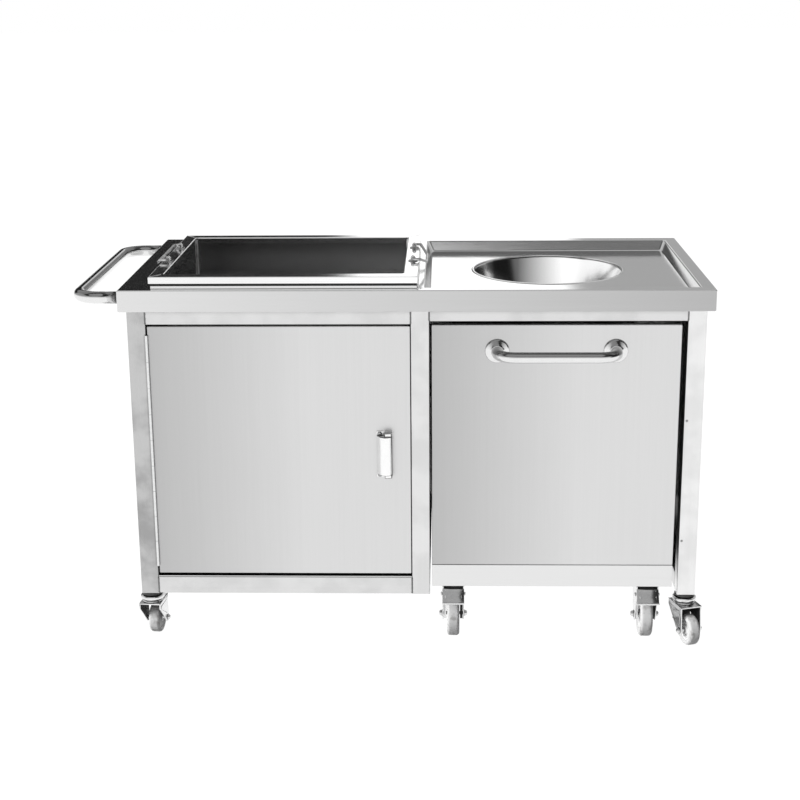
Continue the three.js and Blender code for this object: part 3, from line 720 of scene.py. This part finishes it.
def tub_seams(rim, top, floor):
    """Ground welds up the tub's back corners in a pale matt colour, a painted highlight line, and
    mitre seams across the rim's corners.
    """
    x0, x1, _, y1 = TUB_BOWL
    inside = 2.2
    for name, x in (("left", x0 + inside), ("right", x1 - inside)):
        weld = Build()
        weld.tube([(x, y1 - inside, floor + 30), (x, y1 - inside, top - 5)], 1.3, sides=10)
        weld.finish(f"tub_corner_{name}", "tub", "brushed_sheet", "bead")
    for i, (sx, sy) in enumerate(((0, 2), (0, 3), (1, 2), (1, 3))):
        start = Vector((rim[sx], rim[sy], top))
        step = (Vector((TUB_BOWL[sx], TUB_BOWL[sy], top)) - start) / 12
        seam = Build()
        seam.tube([start + step * (1 + k) + Vector((0, 0, 0.05)) for k in range(10)], 0.45, sides=8)
        seam.finish(f"rim_mitre_{i}", "tub", "brushed_sheet", "tub")


# ---------- doors and tray ----------
FOLD = 2.2
FRONT_DEPTH = 20.0
FRONT_RETURN = 14.0  # how far the folded edge comes back behind the front
FRONT_SHEET = 1.0
TROLLEY_FRONT_FOOT = 173.5
STANDING = Matrix(((1, 0, 0, 0), (0, 0, -1, 0), (0, 1, 0, 0), (0, 0, 0, 1)))  # plan to front face


def folded_front(name, node, body, finish, foot=None):
    """A shallow pan of folded sheet over a CAD node's front, with rounded folds."""
    low, high = cart_box(node)
    box = (low.x, high.x, low.z if foot is None else foot, high.z)
    b = Build(STANDING)
    folds = [(FRONT_RETURN, FRONT_DEPTH - 0.8), (1.5, FRONT_DEPTH - 0.8),
             (0.5, FRONT_DEPTH - 1.4), (0, FRONT_DEPTH - 2.4), *bend((FOLD, FOLD), FOLD, 180, 270)]
    made = b.skin([inset_ring(box, inset, -(low.y + out), 1.2 + max(0.0, FOLD - inset) * 0.4)
                   for inset, out in folds])
    flat_fill(b, [made[-1]])
    b.finish(name, body, "brushed_sheet", finish, [node], sheet=FRONT_SHEET)


STAY_WIDTH = 20.0
STAY_INSET = 28.0  # from the sides of the tray
STAY_TOP = 600.0
CLEAT_HEIGHT = 40.0


def trolley_stays():
    """The two uprights behind the trolley's front, each with a cleat that holds the sheet."""
    low, high = cart_box("trolley_front")
    b = Build()
    for x in (low.x + STAY_INSET, high.x - STAY_INSET - STAY_WIDTH):
        stay_y = high.y - STAY_WIDTH
        b.skin([rounded_rect(x, x + STAY_WIDTH, stay_y, high.y, 2.0, z) for z in (low.z, STAY_TOP)],
               caps=(True, True))
        b.skin([rounded_rect(x, x + STAY_WIDTH, low.y + 0.7, stay_y + 0.5, 1.0, z)
                for z in (STAY_TOP - CLEAT_HEIGHT, STAY_TOP - 0.5)], caps=(True, True))
    b.finish("trolley_stays", "trolley", "frame_tube", "tube_z", edge=0.4)


# ---------- handles ----------
PUSH_BEND = 48.0
APRON_LEFT = -600.3  # just inside the apron's left face
BAR_SIDES = 36
GRAB = {"flange": 25.0, "radius": 11.25, "bend": 36.0}


def push_handle():
    """The bent tube at the left end, with a weld ring at each foot."""
    low, high = cart_box("push_handle")
    radius = (high.z - low.z) / 2
    z = (high.z + low.z) / 2
    x = low.x + radius
    y0, y1 = low.y + radius, high.y - radius
    b = Build()
    corners = [(APRON_LEFT, y0, z), (x, y0, z), (x, y1, z), (APRON_LEFT, y1, z)]
    b.tube(rounded_route(corners, PUSH_BEND, 16), radius, sides=BAR_SIDES)
    for y in (y0, y1):
        b.tube([(APRON_LEFT - 2.4 + 0.3 * k, y, z) for k in range(8)], radius + 1.4,
               sides=BAR_SIDES, swell=lambda k: 1 - 0.07 * ((k - 6.0) / 6.0) ** 2)
    b.finish("push_handle_tube", "frame", "polished_tube", "bar", ["push_handle"])


def grab_handle():
    """The trolley's bent tube on two cupped flanges."""
    low, high = cart_box("trolley_handle")
    r, bar_radius = GRAB["flange"], GRAB["radius"]
    x0, x1 = low.x + r, high.x - r
    z = (low.z + high.z) / 2
    wall, reach = high.y, low.y + bar_radius
    b = Build()
    b.tube(rounded_route([(x0, wall, z), (x0, reach, z), (x1, reach, z), (x1, wall, z)],
                         GRAB["bend"], 16), bar_radius, sides=BAR_SIDES)
    cup = [(0, 0), (r - 0.8, 0), (r, 1.2), *bend((r - 5, 2.0), 5, 20, 70, 4),
           (bar_radius + 5, 9.0), (bar_radius + 1.5, 11), (bar_radius + 0.8, 12.5), (0, 12.5)]
    for x in (x0, x1):
        b.lathe(cup, move(x, wall, z) @ TOWARDS_FRONT, sides=48)
    bar = b.finish("grab_handle_tube", "trolley", "polished_tube", "bar", ["trolley_handle"])
    bar.visible_glossy = False  # the photograph's brushed front doesn't mirror it


def door_pull():
    """A rolled grip on a narrow back plate, held by a screw at each end, with dark pieces on its
    right side as painted shade.
    """
    low, high = cart_box("door_handle")
    half = (high.x - low.x) / 2
    place = move((low.x + high.x) / 2, high.y, 0)
    b = Build(place)
    grip = [(-half, -1.2), (1 - half, -6), (4.5 - half, -14), (10 - half, -20.5), (1, -24),
            (half - 8, -23.5), (half - 2.5, -19.5), (half, -13), (half - 0.6, -6)]
    hollow = [(x + (1.6 if x < 0 else -1.6), y + 1.4) for x, y in reversed(grip)]
    b.plate(grip + hollow, low.z + 8.5, high.z - 8.5)
    for lid in (low.z + 8.5, high.z - 9.5):
        b.plate(grip, lid, lid + 1)
    b.finish("pull_grip", "door", "polished_tube", "pull", ["door_handle"], edge=0.5)
    plate, edge, tabs, screws = (Build(place) for _ in range(4))
    for end, z in ((-1, low.z), (1, high.z)):
        low_z, high_z = sorted((z, z - end * 9))
        plate.plate(slab(-half, half, -3, 0), low_z, high_z)
        # dark end pieces on the grip's right half: painted shade
        edge.plate([(1, -18), (half, -15), (half, -3), (1, -3)], low_z, high_z)
        tabs.plate([(2, -19), (half - 2.2, -17), (half - 2.2, -15), (2, -15)],
                   low_z + 1.6, high_z - 1.6)
        screws.lathe([(0, 0), (4.2, 0), (4.2, 1.4), (3.0, 3.0), (1.0, 3.4), (0, 3.4)],
                     move(6.5 - half, -3.0, z - end * 4.6) @ TOWARDS_FRONT, sides=24)
    # a dark strip along the grip's right side: painted shade
    edge.plate([(half - 2.6, -19), (half, -15), (half, -5), (half - 2.6, -5)],
               low.z + 9, high.z - 9)
    plate.finish("pull_plate", "door", "polished_tube", "pull", edge=0.8)
    edge.finish("pull_painted_shade_edge", "door", "caster_steel", "screw", edge=0.6)
    tabs.finish("pull_tabs", "door", "polished_tube", "pull", edge=0.6)
    screws.finish("pull_screws", "door", "caster_steel", "pedal")


BAIL = {"spread": 154.0, "bar": 82.0, "wire": 6.0, "reach": 28.5, "drop": 14.0, "barrel": 5.5,
        "bore": 3.5, "bend": 5.0}


def bails():
    """The tub's two swinging bails of bent wire, and the clips that hold them."""
    spread, barrel, bore = BAIL["spread"] / 2, BAIL["barrel"], BAIL["bore"]
    for end, side in SIDES.items():
        low, high = cart_box(f"bail_bracket_{end}")
        middle = (low + high) / 2
        place = move(middle.x, middle.y, high.z - barrel) @ Matrix.Diagonal((side, 1, 1, 1))
        arm = [(0, spread - 12, 0), (0, spread + 14, 0), (14, spread + 12, 0),
               (BAIL["reach"], BAIL["bar"] / 2, -BAIL["drop"])]
        route = [(x, -y, h) for x, y, h in arm] + arm[::-1]
        wire = Build(place)
        wire.tube(rounded_route(route, BAIL["bend"], 6), BAIL["wire"] / 2, sides=16)
        wire.finish(f"bail_wire_{end}", f"bail_{end}", "polished_tube", "polished",
                    [f"bail_{end}"])
        clips = Build(place)
        for y in (-spread, spread):
            clips.lathe([(bore, -6), (barrel, -6), (barrel, 6), (bore, 6), (bore, -6)],
                        move(0, y, 0) @ ALONG_Y, sides=24)
            clips.plate([(-9, y - 7), (9, y - 7), (10, y), (9, y + 7), (-9, y + 7), (-10, y)],
                        -barrel, -barrel + 1.6)
            for x in (-6.8, 6.8):
                clips.lathe([(0, 1.5 - barrel), (2.0, 1.5 - barrel), (1.6, 2.6 - barrel),
                             (0, 2.9 - barrel)], move(x, y, 0), sides=12)
        clips.finish(f"bail_clips_{end}", "tub", "polished_tube", "polished",
                     [f"bail_bracket_{end}"], edge=0.3)


# ---------- casters ----------
AXLE = {"radius": 3.6, "past": 1.0}
RIM_SHARE = 0.66  # of the wheel's radius, where its tyre begins
CASTER = {"width": 46.0, "sheet": 2.5, "crown": 85.0, "nose": 36.0, "heel": 26.0, "radius": 32.5,
          "trail": 29.0, "tread": 24.0, "leg": 38.0}
HEADINGS = {"front_left": 85.0, "front_right": -73.0, "back_left": 180.0, "back_right": 188.0}
TROLLEY = {"width": 46.0, "sheet": 2.5, "radius": 47.5, "tread": 26.0, "front": 24.0, "back": 36.0,
           "pedal_y": -28.0, "pedal_z": 56.0}


def wheel(name, node, place, radius, width):
    """A moulded wheel about local x: a tyre with soft shoulders on a ringed hub."""
    half = width / 2
    rim = radius * RIM_SHARE
    tyre = [(rim, -half + 2), (rim + 2, -half + 0.6), (radius - 5, -half),
            (radius - 2.2, -half + 1.2), (radius - 0.5, -half + 3.6), (radius, -half + 6)]
    tyre += [(r, -x) for r, x in reversed(tyre)]
    b = Build(place)
    b.lathe(tyre + tyre[:1], ALONG_X, sides=64)
    b.finish(f"tyre_{name}", node, "wheel_grey", "tyre", [node])
    hub = [(4.4, -half + 1.0), (9.0, -half + 1.0), (10.0, -half + 2.2), (11.0, -half + 4.4),
           (rim * 0.70, -half + 4.4), (rim * 0.74, -half + 3.0), (rim * 0.82, -half + 3.0),
           (rim * 0.86, -half + 4.2), (rim * 0.94, -half + 4.2), (rim - 0.2, -half + 2.2),
           (rim + 0.4, -half + 2.2)]
    hub += [(r, -x) for r, x in reversed(hub)]
    h = Build(place)
    h.lathe(hub + hub[:1], ALONG_X, sides=48)
    h.finish(f"hub_{name}", node, "wheel_grey", "hub")


def dome_nuts(name, body, place, half, radius, height):
    """A domed nut at each end of an axle, looking outwards."""
    for end, side in SIDES.items():
        b = Build(place)
        b.lathe([(0, 0), (radius * 1.25, 0), (radius * 1.25, 1.0), (radius, 1.2),
                 (radius, height * 0.45), (radius * 0.86, height * 0.75),
                 (radius * 0.5, height * 0.95), (0, height)],
                move(side * half, 0, 0) @ outwards(side), sides=24)
        b.finish(f"{name}_{end}", body, "caster_steel", "polished")


def side_plate(build, outline, x, thickness):
    """A plate across x, its outline given as (y, z)."""
    build.plate(outline, x, x + thickness, ACROSS_X)


def plate_pair(build, outline, half, thickness):
    """A plate on each side of the middle, with outer faces at half."""
    side_plate(build, outline, -half, thickness)
    side_plate(build, outline, half - thickness, thickness)


def leg_outline(front, back, top, neck_front, neck_back, eye_y, eye_z, eye):
    """A fork leg, tapering from its top edge to a round eye at the axle."""
    around = [(eye_y + eye * math.cos(a), eye_z + eye * math.sin(a))
              for a in (math.radians(185 + 17 * i) for i in range(10))]
    return [(back, top), (front, top), (front, top - neck_front), *around, (back, top - neck_back)]


def swivel_fork(corner, place):
    """Two ribbed legs under a crown plate."""
    c = CASTER
    half, crown, axle = c["width"] / 2, c["crown"], c["radius"]
    leg = leg_outline(-c["nose"], c["heel"], crown, 12, 12, -c["trail"], axle, 10.5)
    rib = leg_outline(-c["nose"] + 7, c["heel"] - 8, crown - 9, 6, 6, -c["trail"] + 4, axle + 16, 5)
    b = Build(place)
    for side in SIDES.values():
        side_plate(b, leg, min(side * half, side * (half - c["sheet"])), c["sheet"])
        side_plate(b, rib, side * (half - 0.6), 0.01 + 1.2 * side)
    b.plate(slab(-half, half, -c["nose"], c["heel"]), crown - c["sheet"], crown)
    b.finish(f"fork_{corner}", f"caster_{corner}", "caster_steel", "zinc",
             [f"caster_fork_{corner}"], edge=1.1)


def fork_painted_shade(corner, place):
    """Painted shade in the fork: near-black cheeks, a web behind the wheel, and a roof."""
    c = CASTER
    crown, axle = c["crown"], c["radius"]
    inner = c["width"] / 2 - c["sheet"] - 0.1
    cheek = leg_outline(-c["nose"] + 1.5, c["heel"] - 1.5, crown - 3, 11, 11, -c["trail"], axle, 9)
    b = Build(place)
    plate_pair(b, cheek, inner, 0.4)
    if corner != "front_left":  # its fork looks open at the heel in the photograph
        b.plate(slab(-inner + 0.5, inner - 0.5, 8, 10), axle + 12, crown - 3)
    b.plate(slab(-inner + 0.5, inner - 0.5, -c["nose"] + 1.5, 7.5), crown - 3.6, crown - 2.6)
    b.finish(f"fork_painted_shade_{corner}", f"caster_{corner}", "dark_plastic", "painted_shade_black")


def raceway(corner, place):
    """The turning half of the bearing, and the axle with its nuts."""
    c = CASTER
    half, crown, axle = c["width"] / 2, c["crown"], c["radius"]
    b = Build(place)
    b.lathe([(0, -0.5), (22.5, -0.5), (22.5, 1.2), (21, 3.2), (19.5, 4.6), (0, 4.6)],
            move(0, 0, crown))
    dome_nuts(f"axle_nut_{corner}", f"caster_{corner}", place @ move(0, -c["trail"], axle),
              half, 5.2, 6.0)
    end = half + AXLE["past"]
    b.tube([(-end, -c["trail"], axle), (end, -c["trail"], axle)], AXLE["radius"], sides=20)
    b.finish(f"raceway_{corner}", f"caster_{corner}", "caster_steel", "zinc")


def caster_head(corner, place, height):
    """The fixed half: the pressed ring over the balls, a dust cover and the plug in the leg."""
    b = Build(place)
    b.lathe([(0, 0), (20, 0), (24.2, 1.0), (25, 2.2), (25, 6.0), (24, 7.6), (21.5, 8.4),
             (16, 8.8), (0, 8.8)])
    b.finish(f"bearing_{corner}", "frame", "caster_steel", "zinc", [f"caster_head_{corner}"])
    cover = Build(place)
    cover.lathe([(0, 8.8), (17.5, 8.8), (20.5, 10.5), (21, 12), (21, height - 1.5),
                 (19.5, height), (0, height)])
    cover.finish(f"dust_cover_{corner}", "frame", "dark_plastic", "plastic")
    plug = Build(place)
    half = CASTER["leg"] / 2 - 1.0
    plug.skin([rounded_rect(-half, half, -half, half, 3, z) for z in (height + 0.1, height + 3)],
              caps=(True, True))
    plug.finish(f"leg_plug_{corner}", "frame", "dark_plastic", "plastic", edge=0.4)


def swivel_caster(corner, heading):
    """One of the cart's own casters, trailing towards its heading in degrees from +x."""
    low, high = cart_box(f"caster_head_{corner}")
    pivot = (low + high) / 2
    fixed = move(pivot.x, pivot.y, 0)
    place = fixed @ Matrix.Rotation(math.radians(heading + 90), 4, "Z")
    swivel_fork(corner, place)
    fork_painted_shade(corner, place)
    raceway(corner, place)
    caster_head(corner, fixed @ move(0, 0, low.z), high.z - low.z)
    wheel(corner, f"caster_wheel_{corner}", place @ move(0, -CASTER["trail"], CASTER["radius"]),
          CASTER["radius"], CASTER["tread"])


def brake_block(corner, place, half, top):
    """The bridge and roller behind the brake pedal's place, near black as painted shade."""
    b = Build(place)
    b.plate(slab(-half, half, -24, -21), 50, top - 3)
    b.lathe([(0, -8), (6.5, -8), (7.5, -7), (7.5, 7), (6.5, 8), (0, 8)],
            move(0, -22.5, 54) @ ALONG_X, sides=20)
    b.finish(f"brake_block_{corner}", "trolley", "dark_plastic", "painted_shade_black", edge=0.5)


def trolley_caster(corner, braked):
    """One of the trolley's fixed casters, with a longer nose where it has a brake."""
    low, high = cart_box(f"trolley_wheel_{corner}")
    centre = (low + high) / 2
    _, fork_high = cart_box(f"trolley_fork_{corner}")
    place = move(*centre)
    t = TROLLEY
    half, back, sheet = t["width"] / 2, t["back"], t["sheet"]
    top = fork_high.z - centre.z
    nose = -(t["front"] + 14) if braked else -back
    leg = leg_outline(nose, back, top, 20, 14, 0, 0, 14)
    b = Build(place)
    plate_pair(b, leg, half, sheet)
    b.plate(slab(-half, half, -t["front"], back), top - sheet, top)
    end = half + AXLE["past"]
    b.tube([(-end, 0, 0), (end, 0, 0)], AXLE["radius"], sides=20)
    brake_block(corner, place, half - sheet - 0.3, top)
    cheek = leg_outline(-18, back - 6, top - 4, 18, 12, 0, 0, 12)
    for (end, side), finish in zip(SIDES.items(), ("zinc", "painted_shade_black")):  # left one lit zinc, right one near black as painted shade
        spacer = Build(place)
        side_plate(spacer, cheek, side * 14.8 - (0 if side > 0 else 5), 5)
        spacer.finish(f"fork_spacer_{corner}_{end}", "trolley", "caster_steel", finish, edge=0.6)
    b.finish(f"trolley_fork_sheet_{corner}", "trolley", "caster_steel", "zinc",
             [f"trolley_fork_{corner}"], edge=1.0)
    dome_nuts(f"trolley_nut_{corner}", "trolley", place, half, 6.2, 7.5)
    wheel(f"trolley_{corner}", f"trolley_wheel_{corner}", place, t["radius"], t["tread"])
    if braked:
        brake_pedal(corner, place)


def brake_pedal(corner, place):
    """A pressed pedal: a bowed sloping plate with a rolled lip, on two ears and a pin."""
    half = TROLLEY["width"] / 2
    body = f"brake_pedal_{corner}"
    pin = place @ move(0, TROLLEY["pedal_y"], TROLLEY["pedal_z"])
    b = Build(pin)
    spine = [(-12, 15.5), (-17, 11), (-23.5, 1.5), (-29.5, -6), (-33, -8.8), (-35, -9.0)]
    across = [-1 + 0.2 * k for k in range(11)]
    rows = [b.ring([Vector((half * u, y - 4.0 * (1 - u * u) + 3.0, z)) for u in across])
            for y, z in spine]
    for low_row, high_row in zip(rows, rows[1:]):
        for i in range(len(across) - 1):
            b.bm.faces.new((low_row[i], low_row[i + 1], high_row[i + 1], high_row[i]))
    b.finish(f"pedal_plate_{corner}", body, "caster_steel", "pedal", [body], sheet=2.0, edge=0.5)
    ears = Build(pin)
    ear = [(-14, 13), (-28, -6), (-20, -6), (-4, -6), (5, -3), (6, 2), (2, 7)]
    plate_pair(ears, ear, half - 5.5, 2.0)
    ears.tube([(-half - 3, 0, 0), (half + 3, 0, 0)], 2.8, sides=16)
    ears.tube([(-half, -35.0, -8.4), (half, -35.0, -8.4)], 1.7, sides=14)
    for side in SIDES.values():
        ears.lathe([(0, 0), (4.6, 0), (4.2, 1.6), (2.4, 2.8), (0, 3.0)],
                   move(side * (half + 1), 0, 0) @ outwards(side), sides=16)
    ears.finish(f"pedal_ears_{corner}", body, "caster_steel", "zinc", edge=0.5)


# ---------- welds and rivets ----------
WELD_RADIUS = 1.5
WELD_PITCH = 1.4  # between points along a bead
RIVET_HEIGHTS = (489.0, 228.0)


def weld_bead(name, x, y, node):
    """A rippled fillet of weld up the end of a rail, at one x."""
    low, high = cart_box(node)
    start, end = Vector((x, y + 0.6, low.z + 2)), Vector((x, y + 0.6, high.z - 2))
    count = max(6, int((end - start).length / WELD_PITCH))
    b = Build()
    b.tube([start.lerp(end, i / count) for i in range(count + 1)], WELD_RADIUS, sides=10,
           swell=lambda i: 1 + 0.22 * math.sin(i * 2.4) + 0.12 * math.sin(i * 0.9 + 1))
    b.finish(name, "frame", "frame_tube", "weld")


def welds():
    """Beads where the front rails meet the legs and the middle post."""
    left_leg, right_leg = cart_box("leg_front_left"), cart_box("leg_front_right")
    post_low, post_high = cart_box("post_front")
    rail = "rail_bottom_front"
    weld_bead("weld_top_left", left_leg[1].x, left_leg[0].y, "rail_top_front_left")
    weld_bead("weld_bottom_left", left_leg[1].x, left_leg[0].y, rail)
    weld_bead("weld_top_right", right_leg[0].x, right_leg[0].y, "rail_top_front_right")
    weld_bead("weld_post_bottom", post_low.x, cart_box(rail)[0].y, rail)
    for side, x in (("left", post_low.x), ("right", post_high.x)):
        node = f"rail_top_front_{side}"
        weld_bead(f"weld_post_{side}", x, cart_box(node)[0].y, node)


def rivets():
    """Two flat rivets on the inner edge of the front right leg."""
    low, _ = cart_box("leg_front_right")
    b = Build()
    for height in RIVET_HEIGHTS:
        b.lathe([(0, -0.5), (2.4, -0.5), (2.4, 0.5), (1.6, 1.1), (0, 1.2)],
                move(low.x + 5.5, low.y, height) @ TOWARDS_FRONT, sides=16)
    b.finish("leg_rivets", "frame", "caster_steel", "screw")


worktop()
rim_strips()
funnel()
tub()
folded_front("door_sheet", "door_panel", "door", "door")
folded_front("trolley_front_sheet", "trolley_front", "trolley", "trolley", TROLLEY_FRONT_FOOT)
trolley_stays()
push_handle()
grab_handle()
door_pull()
bails()
for caster_corner, caster_heading in HEADINGS.items():
    swivel_caster(caster_corner, caster_heading)
for trolley_corner in HEADINGS:
    trolley_caster(trolley_corner, braked=trolley_corner.startswith("front"))
welds()
rivets()


# ---------- surroundings ----------
# Sines of the heights where the studio's cards begin in reflections, and how bright each card is.
HORIZON, MIDDLE, BROW, CEILING = 0.035, 0.34, 0.42, 0.8
WINDOW = (-0.075, 0.075)  # its left and right ends behind the cart, as x over y
FLOOR_LIGHT, LEFT_LIGHT, RIGHT_LIGHT = 1.0, 1.0, 0.06
DARK_CARD, WINDOW_LIGHT, LOW_RIGHT, HIGH_BEHIND = 0.02, 1.35, 0.42, 0.66
FRONT_LOW, FRONT_HIGH = 1.1, 0.06
CEILING_LIGHT = (0.06, 0.26)  # from left to right
MATT_LIGHT = (1.2, 0.01)  # on surfaces that don't mirror, from left to right


def make_world():
    """White to the camera, bright from the left on matt surfaces, cards in reflections."""
    world = bpy.data.worlds.new("studio")
    bpy.context.scene.world = world
    world.use_nodes = True
    g = Graph(world.node_tree)
    path = g.add("ShaderNodeLightPath")
    way = g.add("ShaderNodeSeparateXYZ", {0: g.add("ShaderNodeTexCoord").outputs["Generated"]})
    x, y, z = way.outputs
    # Low behind the cart, from the left: a dark card, a bright window, then mid grey.
    bearing = g.math("DIVIDE", x, g.math("MAXIMUM", y, 0.05))
    window = g.mix(g.step(bearing, WINDOW[0], WINDOW[0] + 0.025), DARK_CARD, WINDOW_LIGHT)
    low_back = g.mix(g.step(bearing, WINDOW[1], WINDOW[1] + 0.015), window, LOW_RIGHT)
    behind = g.mix(g.step(z, MIDDLE, MIDDLE + 0.08), low_back, HIGH_BEHIND)
    # In front: bright low down, dark above.
    ahead = g.mix(g.step(z, BROW, BROW + 0.08), FRONT_LOW, FRONT_HIGH)
    walls = g.mix(g.step(y, -0.08, 0.08), ahead, behind)
    left = g.mix(g.step(x, -0.86, -0.74), LEFT_LIGHT, walls)
    sides = g.mix(g.step(x, 0.74, 0.86), left, RIGHT_LIGHT)
    above = g.mix(g.ramp(x, -0.5, 0.5), *CEILING_LIGHT)
    ceiling = g.mix(g.step(z, CEILING, CEILING + 0.12), sides, above)
    gloss = g.mix(g.step(z, HORIZON, HORIZON + 0.08), FLOOR_LIGHT, ceiling)
    diffuse = g.mix(g.ramp(x, -0.9, 0.35), *MATT_LIGHT)
    light = g.mix(path.outputs["Is Diffuse Ray"], gloss, diffuse)
    strength = g.mix(path.outputs["Is Camera Ray"], light, 1.0)
    back = g.add("ShaderNodeBackground", {"Color": (1, 1, 1, 1), "Strength": strength})
    g.add("ShaderNodeOutputWorld", {"Surface": back.outputs[0]})


FLOOR_HALF = 30.0  # metres
FLOOR_GLOW = (0.99, 0.06)  # as seen, and as it lights the cart


def make_floor():
    """A pale floor, partly lit from within so that it stays nearly white under the cart."""
    mesh = bpy.data.meshes.new("floor")
    outline = slab(-FLOOR_HALF, FLOOR_HALF, -FLOOR_HALF, FLOOR_HALF)
    mesh.from_pydata([(x, y, 0) for x, y in outline], [], [(0, 1, 2, 3)])
    floor = new_object("floor", mesh)
    material, g, _ = new_material("pale floor")
    bounced = g.add("ShaderNodeLightPath").outputs["Is Diffuse Ray"]
    g.surface({"Base Color": grey(0.09), "Roughness": 0.9, "Specular IOR Level": 0.0,
               "Emission Color": (1, 1, 1, 1), "Emission Strength": g.mix(bounced, *FLOOR_GLOW)})
    mesh.materials.append(material)


def make_sun(name, energy, spread, turn, in_gloss=True):
    """A broad soft light; turn is its rotation about x, y and z in degrees."""
    data = bpy.data.lights.new(name, "SUN")
    data.energy = energy
    data.angle = math.radians(spread)
    sun = new_object(name, data)
    sun.rotation_euler = [math.radians(a) for a in turn]
    sun.visible_glossy = in_gloss


make_world()
make_floor()
make_sun("high soft light", 0.6, 60, (30, -12, 0))
make_sun("light from the left", 3.3, 35, (66, 0, -65), in_gloss=False)
bpy.context.scene.view_settings.view_transform = "Standard"
